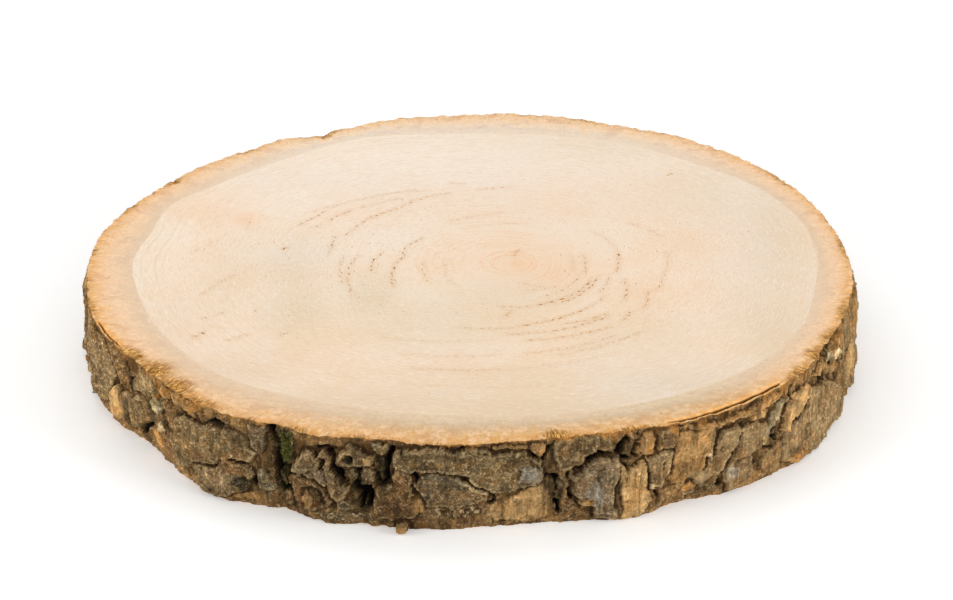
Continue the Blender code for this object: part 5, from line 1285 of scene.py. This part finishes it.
def outer_bark_finish():
    """Each plate's own colour, broken by grain, streaks, soot and the torn fringe, with painted shade in
    hollows and cracks and painted highlight on raised edges.
    """
    made, wire, shader = new_material("outer_bark")
    place = wire.place()
    hollow = wire.value_of("hollow")

    def mottle(scale, low, high, vector=place):
        return wire.group(MOTTLE, {"Place": vector, "Scale": scale, "Low": low, "High": high})["Mask"]

    broad = mottle(150.0, 0.38, 0.62)
    grain = mottle(640.0, 0.40, 0.60)
    fine = mottle(1500.0, 0.40, 0.60)
    colour = wire.blend(broad, *BED_COLOURS)
    for finish, (light, dark) in FINISH_COLOURS.items():
        mask = wire.spread(wire.plus(wire.value_of(finish), wire.times(fine, 0.4)), 0.5, 0.75)
        colour = wire.blend(mask, colour, wire.blend(broad, light, dark))
    fibrous = wire.value_of("fibrous")
    colour = wire.blend(wire.times(mottle(85.0, 0.52, 0.64), 0.40), colour, RUST)
    colour = wire.blend(wire.times(mottle(330.0, 0.50, 0.66), 0.50), colour, OCHRE)
    clean = wire.math("MAXIMUM", wire.value_of("pale"), wire.times(wire.value_of("orange"), 0.3))
    sooty = wire.times(mottle(120.0, 0.50, 0.62), wire.spread(clean, 0.0, 1.0, 0.50, 0.0))
    colour = wire.blend(sooty, colour, SOOT)
    colour = wire.blend(wire.times(wire.value_of("tone"), 0.18), colour, DARK_GRAIN)
    less = wire.times(wire.spread(fibrous, 0.0, 1.0, 1.0, 0.6), wire.spread(clean, 0.0, 1.0, 1.0, 0.35))
    colour = wire.blend(wire.times(wire.times(grain, 0.56), less), colour, DARK_GRAIN)
    colour = wire.blend(wire.times(wire.times(fine, 0.50), less), colour, DARK_GRAIN)
    colour = wire.blend(wire.times(mottle(800.0, 0.56, 0.66), 0.60), colour, PALE_GRAIN)
    # Random blotches, times the side brightness: partly weathering, partly painted light.
    blotch = wire.math("MULTIPLY_ADD", mottle(230.0, 0.38, 0.62), 0.58)
    wire.set(blotch.node, {2: 0.78})
    colour = wire.vector("SCALE", {0: colour, "Scale": wire.times(blotch, wire.value_of("side_wear_and_light"))})
    drawn_up = wire.vector("MULTIPLY", {0: place, 1: (1.0, 1.0, 0.14)})
    shaggy = wire.spread(wire.value_of("fringe"), 0.04, 0.14)
    streak = mottle(620.0, 0.42, 0.60, drawn_up)
    dark_streak = mottle(360.0, 0.50, 0.64, drawn_up)
    colour = wire.blend(wire.times(wire.times(streak, fibrous), 0.50), colour, STREAK_LIGHT)
    colour = wire.blend(wire.times(wire.times(dark_streak, fibrous), 0.62), colour, STREAK_DARK)
    # Painted highlight on raised places and on curled plate lips.
    ridge_highlight = wire.times(wire.spread(hollow, -0.10, -0.36), 0.36)
    edge = wire.math("MAXIMUM", ridge_highlight, wire.times(wire.value_of("lip"), 0.25))
    edge = wire.times(edge, wire.spread(grain, 0.0, 1.0, 1.0, 0.3))
    colour = wire.blend(edge, colour, EDGE_HIGHLIGHT)
    # Painted shade in hollows and between the plates, wide and narrow.
    sunk = wire.times(wire.spread(wire.value_of("sunk"), 0.15, 0.90), 0.55)
    colour = wire.blend(sunk, colour, HOLLOW_SHADE)
    colour = wire.blend(wire.times(wire.spread(hollow, 0.08, 0.42), 0.65), colour, HOLLOW_SHADE)
    crumbs = wire.value_of("crumbs")
    colour = wire.blend(wire.times(crumbs, 0.45), colour, SOOT)
    crumbs = wire.times(wire.times(crumbs, mottle(640.0, 0.50, 0.60)), 0.80)
    colour = wire.blend(crumbs, colour, CRUMB_PALE)
    # Dark patches over the cracks: partly damp bark, partly painted shade.
    ragged = wire.spread(mottle(260.0, 0.36, 0.64), 0.0, 1.0, 0.75, 1.25)
    colour = wire.blend(wire.times(wire.value_of("damp_and_shade"), ragged), colour, DAMP_AND_SHADE_DARK)
    # Painted shade, near black, where a place lies deep below its surroundings, as in the cracks.
    uneven = wire.spread(mottle(420.0, 0.35, 0.65), 0.0, 1.0, 0.65, 1.3)
    deep = wire.times(wire.value_of("deep"), uneven)
    colour = wire.blend(wire.spread(deep, 0.9, 3.0), colour, CRACK_SHADE)
    patchy = wire.times(mottle(170.0, 0.42, 0.64, drawn_up), wire.value_of("fringe"))
    frayed = wire.plus(wire.times(patchy, 1.5), wire.times(fine, 0.02))
    near_rim = wire.plus(wire.value_of("up"), frayed)
    fringe = wire.blend(mottle(120.0, 0.40, 0.60), FRINGE, FRINGE_DARK)
    fringe = wire.blend(wire.times(wire.times(dark_streak, shaggy), 0.8), fringe, STREAK_DARK)
    colour = wire.blend(wire.times(wire.spread(near_rim, 1.00, 1.05), 0.85), colour, fringe)
    bumps = wire.plus(wire.plus(grain, fine), wire.times(streak, fibrous))
    bump = wire.node("ShaderNodeBump", None, {"Strength": 1.0, "Distance": 0.0007, "Height": bumps})
    rough = wire.spread(grain, 0.0, 1.0, 0.82, 0.97)
    wire.set(shader, {"Base Color": colour, "Roughness": rough, "Normal": bump.outputs[0]})
    wire.set(shader, {"Specular IOR Level": 0.12})
    return made


side_places, side_marks = bark_side()
bark = piece_from("outer_bark", side_places, ring_of_quads(SIDE_ROWS + 1, BARK_AROUND), side_marks)
bark.data.materials.append(outer_bark_finish())
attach(bark, "root")
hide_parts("bark")


# The sawn rim of the inner bark
# A band of soft inner bark between the wood and the rough outer bark, cut through by the saw on
# both faces. It is pale and greyish at the wood, then peach, then orange and torn into fibres.
RIM_STEPS = 44
RIM_STEPS_BELOW = 12
# How far fibres and torn places stand up, how far the rim lies under the cut at least, how far in the
# lower rim is tucked, and how much the gap behind loose bark wanders and spreads.
FIBRE_LIFT = 0.00032
TORN_LIFT = 0.0012
LEAST_DROP = 0.00002
FOOT_TUCK = 0.00005
LOOSE_SWAY = 0.0003
LOOSE_REACH = 0.0018
# Where the saw tore it worse: angle, half angle, how far in from the edge, and how badly.
TORN_PLACES = [
    (213, 3.5, 0.0058, 0.9), (219, 3.2, 0.0092, 1.0), (225, 3.2, 0.0084, 1.0), (231, 3.0, 0.0046, 0.9),
    (246.5, 2.2, 0.0034, 0.7), (255, 3.0, 0.0030, 0.5), (265, 2.5, 0.0024, 0.5), (282.2, 2.0, 0.0058, 1.0),
    (293, 3.0, 0.0028, 0.8), (322, 3.0, 0.0044, 0.8), (328, 2.2, 0.0060, 0.9), (334, 2.4, 0.0046, 0.8),
    (343, 3.5, 0.0040, 0.7),
    (5, 4.0, 0.0030, 0.5), (32, 3.0, 0.0030, 0.6), (71, 3.0, 0.0030, 0.6), (116, 3.0, 0.0040, 0.7),
    (131, 1.6, 0.0030, 0.8), (148, 1.8, 0.0034, 0.9), (160, 3.0, 0.0026, 0.5), (176, 3.0, 0.0026, 0.6),
    (196, 3.5, 0.0030, 0.6),
]
# How far the rim's colour has turned from pale to peach, and from peach to brown, by angle.
PEACHED = [(0, 1.0), (30, 0.9), (52, 0.3), (90, 0.0), (130, 0.15), (150, 0.8), (175, 1.0), (270, 1.0)]
TOASTED = [(20, 0.0), (200, 0.0), (225, 0.35), (242, 0.55), (262, 1.0), (306, 1.0), (320, 0.35), (345, 0.10)]


def rim_marks(radius, from_edge):
    """How torn each place on the rim is, how deep the gap behind loose bark, and what lies by it."""
    torn = np.zeros(BARK_AROUND)
    for angle, half_angle, reach, strength in TORN_PLACES:
        off = (bark_angles - angle + 180) % 360 - 180
        near = strength * np.exp(-(off / half_angle) ** 2)
        torn = np.maximum(torn, near * (1 - smooth(from_edge, 0.3 * reach, reach * (0.6 + 0.8 * near))))
    opening = np.zeros(BARK_AROUND)
    beside = np.zeros(BARK_AROUND)
    from_line = on_closed_curve(RIM, bark_angles) - radius + LOOSE_SWAY * noise_at(bark_ways, 25, 2.2)
    for start, stop, inward, half_width, depth in LOOSE:
        along = loose_at(start, stop)
        opening = np.maximum(opening, depth * along * np.exp(-((from_line - inward) / half_width) ** 2))
        beside = np.maximum(beside, along * np.exp(-((from_line - inward) / LOOSE_REACH) ** 2))
    return torn * (1 - beside), opening, beside


def rim_band(level, inward, outer, edge_height, steps):
    """One sawn face of the inner bark, from the wood to its edge, in rows that go right round."""
    inner = on_closed_curve(WOOD_EDGE, bark_angles)
    rows = []
    for step in range(steps + 1):
        share = (step / steps) ** 0.75
        radius = inner + (outer - inner) * share
        flat = bark_ways * radius[:, None]
        from_edge = outer - radius
        torn, opening, beside = rim_marks(radius, from_edge)
        fibre = noise_at(bark_ways * 60 + [0, 0, share * 3 + level * 50], 1.0)
        clump = noise_at(flat, 330, level * 90) + 0.6 * noise_at(flat, 800)
        lift = FIBRE_LIFT * share ** 2 * (0.6 * fibre + clump - 0.3)
        lift += TORN_LIFT * torn * (clump + fibre - 0.2)
        near_edge = smooth(np.full(BARK_AROUND, share), 0.80, 1.0)
        drop = np.maximum(opening - lift * (1 - near_edge), LEAST_DROP) + edge_height * near_edge
        spots = flat + TRUNK_CENTRE_3D + [0, 0, 1] * (level + inward * drop)[:, None]
        rows.append((spots, {
            "across": np.full(BARK_AROUND, share),
            "from_edge": from_edge * 1000,
            "torn": torn,
            "opening": opening * 1000,
            "beside": beside,
            "peached": on_closed_curve(PEACHED, bark_angles),
            "toasted": on_closed_curve(TOASTED, bark_angles),
        }))
    return rows


def inner_bark():
    """Both sawn rims and the hidden wall at the wood, as one open ring that the outer bark covers."""
    foot = side_places[:BARK_AROUND] - TRUNK_CENTRE_3D
    foot_radius = np.hypot(foot[:, 0], foot[:, 1]) - FOOT_TUCK
    top = rim_band(THICKNESS, -1, edge_radius, edge_drop, RIM_STEPS)
    below = rim_band(0.0, 1, foot_radius, foot[:, 2], RIM_STEPS_BELOW)
    rows = top[::-1] + below
    places = np.vstack([spots for spots, _ in rows])
    layers = {name: np.concatenate([marks[name] for _, marks in rows]) for name in rows[0][1]}
    return piece_from("inner_bark", places, ring_of_quads(len(rows), BARK_AROUND), layers)


# The rim's colours from the wood outwards, each with its share of the way across.
PALE_RIM = [
    (0.00, linear(243, 226, 206)), (0.10, linear(241, 222, 202)), (0.32, linear(237, 216, 193)),
    (0.50, linear(247, 222, 194)), (0.70, linear(250, 214, 174)), (0.92, linear(243, 203, 154)),
]
PEACH_RIM = [
    (0.00, linear(240, 212, 184)), (0.10, linear(232, 203, 172)), (0.30, linear(240, 207, 172)),
    (0.55, linear(247, 208, 170)), (0.74, linear(248, 203, 152)), (0.92, linear(235, 180, 114)),
]
TOASTED_RIM = [
    (0.00, linear(230, 205, 173)), (0.16, linear(227, 203, 171)), (0.26, linear(216, 192, 160)),
    (0.50, linear(214, 179, 136)), (0.74, linear(228, 182, 124)), (0.92, linear(222, 168, 102)),
]
RING_GREY = linear(200, 178, 146)
RIM_LIGHT = linear(253, 224, 188)
RIM_ORANGE = linear(226, 158, 74)
ORANGE_BROWN = linear(198, 130, 66)
RIM_GOLD = linear(248, 192, 112)
TORN_BROWN = linear(108, 74, 24)
TORN_OCHRE = linear(190, 130, 48)
TORN_LIGHT = linear(246, 190, 104)
OPENING_SHADE = linear(112, 74, 26)


def inner_bark_finish():
    """Pale at the wood, then peach, orange and brown, with torn fibres and painted shade in the gap behind
    loose bark.
    """
    made, wire, shader = new_material("inner_bark")
    place = wire.place()
    from_edge = wire.value_of("from_edge")

    def mottle(scale, low, high):
        return wire.group(MOTTLE, {"Place": place, "Scale": scale, "Low": low, "High": high})["Mask"]

    def swayed(value, *pushes):
        for mask, strength in pushes:
            value = wire.plus(value, wire.times(wire.math("SUBTRACT", mask, 0.5), strength))
        return value

    def fibres(how_round, out):
        middle = (float(TRUNK_CENTRE[0]), float(TRUNK_CENTRE[1]), 0.0)
        sockets = {"Place": place, "Middle": middle, "Reach": from_edge, "Round": how_round, "Out": out}
        return wire.group(STREAKS, sockets)["Streak"]

    streak, fine = fibres(70.0, 0.13), fibres(260.0, 0.33)
    patches = mottle(130.0, 0.35, 0.65)
    lumps = mottle(340.0, 0.38, 0.62)
    grit = mottle(900.0, 0.40, 0.62)
    across = swayed(wire.value_of("across"), (patches, 0.14), (streak, 0.40), (lumps, 0.10))
    colour = wire.blend(wire.value_of("peached"), wire.ramp(across, PALE_RIM), wire.ramp(across, PEACH_RIM))
    colour = wire.blend(wire.value_of("toasted"), colour, wire.ramp(across, TOASTED_RIM))
    bands = wire.noise({"W": across, "Scale": 26.0}, {"noise_dimensions": "1D"})
    lines = wire.times(wire.spread(bands, 0.52, 0.66), wire.spread(across, 0.45, 0.20))
    colour = wire.blend(wire.times(lines, 0.40), colour, RING_GREY)
    outward = wire.spread(across, 0.15, 0.75, 0.30, 1.0)
    light = wire.times(wire.spread(lumps, 0.35, 1.0), wire.times(outward, 0.42))
    colour = wire.blend(light, colour, RIM_LIGHT)
    light = wire.times(wire.spread(fine, 0.55, 0.70), wire.times(outward, 0.40))
    colour = wire.blend(light, colour, RIM_LIGHT)
    brown = wire.times(wire.spread(patches, 0.45, 0.0), wire.times(outward, 0.30))
    colour = wire.blend(brown, colour, ORANGE_BROWN)
    dark = wire.times(wire.spread(fine, 0.46, 0.32), wire.times(wire.spread(across, 0.4, 0.9), 0.50))
    colour = wire.blend(dark, colour, ORANGE_BROWN)
    colour = wire.blend(wire.times(wire.times(grit, outward), 0.16), colour, ORANGE_BROWN)
    torn = wire.value_of("torn")
    golden = wire.blend(wire.times(lumps, wire.spread(fine, 0.40, 0.60)), TORN_OCHRE, TORN_LIGHT)
    colour = wire.blend(wire.times(torn, 0.95), colour, golden)
    broken = wire.times(torn, wire.spread(fine, 0.56, 0.44))
    colour = wire.blend(wire.times(broken, 0.9), colour, TORN_BROWN)
    orange = wire.blend(lumps, RIM_ORANGE, RIM_GOLD)
    colour = wire.blend(wire.times(wire.value_of("beside"), 0.75), colour, orange)
    outer = swayed(from_edge, (patches, 1.6), (lumps, 1.2))
    rough_edge = wire.times(wire.spread(outer, 0.7, -0.4), mottle(170.0, 0.48, 0.60))
    colour = wire.blend(wire.times(rough_edge, 0.8), colour, TORN_BROWN)
    # Painted shade in the gap behind loose bark, darker as it deepens.
    colour = wire.blend(wire.spread(wire.value_of("opening"), 0.30, 0.90), colour, OPENING_SHADE)
    bumps = wire.plus(wire.times(fine, 0.6), wire.plus(wire.times(lumps, 0.6), wire.times(grit, 0.3)))
    bump = wire.node("ShaderNodeBump", None, {"Strength": 0.55, "Distance": 0.0005, "Height": bumps})
    rough = wire.spread(streak, 0.3, 0.7, 0.75, 0.92)
    wire.set(shader, {"Base Color": colour, "Roughness": rough, "Normal": bump.outputs[0]})
    wire.set(shader, {"Specular IOR Level": 0.25})
    return made


rim = inner_bark()
rim.data.materials.append(inner_bark_finish())
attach(rim, "root")


# The moss
# Small tufts of living moss in the cracks where water stays, rooted in the bark between its plates.
# Each patch: angle, height, half angle, half height, how many tufts, and how long their leaves are.
MOSS_PATCHES = [
    (244.9, 0.0290, 0.75, 0.0056, 110, 0.0012), (244.2, 0.0200, 0.6, 0.0060, 46, 0.0009),
    (243.9, 0.0130, 0.4, 0.0040, 24, 0.0007), (240.9, 0.0310, 0.7, 0.0030, 10, 0.0007),
    (254.6, 0.0110, 0.7, 0.0060, 18, 0.0007), (282.6, 0.0150, 0.6, 0.0070, 16, 0.0006),
    (100.5, 0.0230, 0.9, 0.0080, 60, 0.0011), (38.0, 0.0140, 0.8, 0.0070, 40, 0.0010),
]
MOSS_LEAVES = 7
MOSS_SEED = 21
# A leaf's half width and droop as shares of its length, and how deep it is rooted.
LEAF_HALF_WIDTH = 0.16
LEAF_DROOP = 0.25
ROOT_DEPTH = 0.0002
MOSS_GREEN = (linear(84, 86, 30), linear(26, 34, 10))
MOSS_TIP = linear(132, 130, 62)


def moss_tufts():
    """Little rosettes of pointed leaves that stand off the bark where it is cracked."""
    draw = random.Random(MOSS_SEED)
    grid = side_places.reshape(SIDE_ROWS + 1, BARK_AROUND, 3)
    places, faces, tips = [], [], []
    for angle, height, half_angle, half_height, count, length in MOSS_PATCHES:
        for _ in range(count):
            column = round((angle + half_angle * draw.gauss(0, 0.6)) * BARK_AROUND / 360) % BARK_AROUND
            row = round((height + half_height * draw.uniform(-1, 1)) / THICKNESS * SIDE_ROWS)
            root = grid[min(max(row, 1), SIDE_ROWS - 1), column]
            out = Vector(bark_ways[column].tolist())
            for _ in range(MOSS_LEAVES):
                stray = Vector((draw.gauss(0, 0.6), draw.gauss(0, 0.6), draw.gauss(0.25, 0.6)))
                aim = (out * 0.8 + stray).normalized()
                side = aim.cross(Vector([draw.gauss(0, 1) for _ in range(3)])).normalized()
                long = length * draw.uniform(0.6, 1.2)
                droop = Vector((0, 0, -LEAF_DROOP * long))
                base = Vector(root.tolist()) - out * ROOT_DEPTH
                belly = base + aim * long * 0.5
                first = len(places)
                wide = side * long * LEAF_HALF_WIDTH
                places += [base, belly + wide, belly - wide, base + aim * long + droop]
                faces += [(first, first + 1, first + 2), (first + 1, first + 3, first + 2)]
                tips += [0.0, 0.5, 0.5, 1.0]
    return piece_from("moss", places, faces, {"tip": tips})


def moss_finish():
    """Green in darker and lighter clumps, paler at the leaf tips."""
    made, wire, shader = new_material("moss")
    place = wire.place()
    clumps = wire.group(MOTTLE, {"Place": place, "Scale": 420.0, "Low": 0.42, "High": 0.58})["Mask"]
    colour = wire.blend(clumps, *MOSS_GREEN)
    colour = wire.blend(wire.times(wire.value_of("tip"), 0.45), colour, MOSS_TIP)
    wire.set(shader, {"Base Color": colour, "Roughness": wire.spread(clumps, 0.0, 1.0, 0.75, 0.9)})
    wire.set(shader, {"Specular IOR Level": 0.2})
    return made


moss = moss_tufts()
moss.data.materials.append(moss_finish())
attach(moss, "root")


# The floor, the light and the camera
# A plain pale floor under soft studio light, seen from 26 degrees above, as in the photograph.
FLOOR_HALF = 3.0
VIEW_DOWN = math.radians(26)
VIEW_DISTANCE = 1.25
VIEW_AIM = Vector((0.00285, 0.0404, 0.0)) + Vector((*TRUNK_CENTRE.tolist(), 0.0))
LENS = 120.4
FLOOR_WHITE = linear(254, 254, 253)


def soft_light(name, place, size, power, colour=(1, 1, 1)):
    """A square lamp aimed at the slice."""
    lamp = bpy.data.lights.new(name, "AREA")
    lamp.shape = "SQUARE"
    lamp.size = size
    lamp.energy = power
    lamp.color = colour
    made = bpy.data.objects.new(name, lamp)
    made.location = place
    made.rotation_euler = (-Vector(place)).to_track_quat("-Z", "Y").to_euler()
    bpy.context.scene.collection.objects.link(made)


bpy.ops.mesh.primitive_plane_add(size=2 * FLOOR_HALF, location=(0, 0, 0))
floor = bpy.context.object
floor.name = "floor"
floor_paint, _, floor_shader = new_material("floor_paint")
floor_shader.inputs["Base Color"].default_value = FLOOR_WHITE
floor_shader.inputs["Roughness"].default_value = 0.9
floor_shader.inputs["Emission Color"].default_value = FLOOR_WHITE
floor_shader.inputs["Emission Strength"].default_value = 0.14
floor.data.materials.append(floor_paint)

soft_light("light_overhead", (-0.3, 0.7, 1.1), 1.2, 3.5)
soft_light("light_right", (1.8, -0.9, 0.45), 1.2, 34)
soft_light("light_front", (0.2, -2.0, 0.45), 1.2, 10)
soft_light("light_left", (-1.8, -0.8, 0.45), 1.2, 28)
world = bpy.data.worlds.new("studio")
world.use_nodes = True
world.node_tree.nodes["Background"].inputs["Color"].default_value = (1, 1, 1, 1)
world.node_tree.nodes["Background"].inputs["Strength"].default_value = 0.58
bpy.context.scene.world = world
bpy.context.scene.view_settings.view_transform = "Standard"

camera_data = bpy.data.cameras.new("camera")
camera_data.lens = LENS
camera_data.sensor_width = 36
camera = bpy.data.objects.new("camera", camera_data)
camera.location = VIEW_AIM + VIEW_DISTANCE * Vector((0, -math.cos(VIEW_DOWN), math.sin(VIEW_DOWN)))
camera.rotation_euler = (math.pi / 2 - VIEW_DOWN, 0, 0)
bpy.context.scene.collection.objects.link(camera)
bpy.context.scene.camera = camera
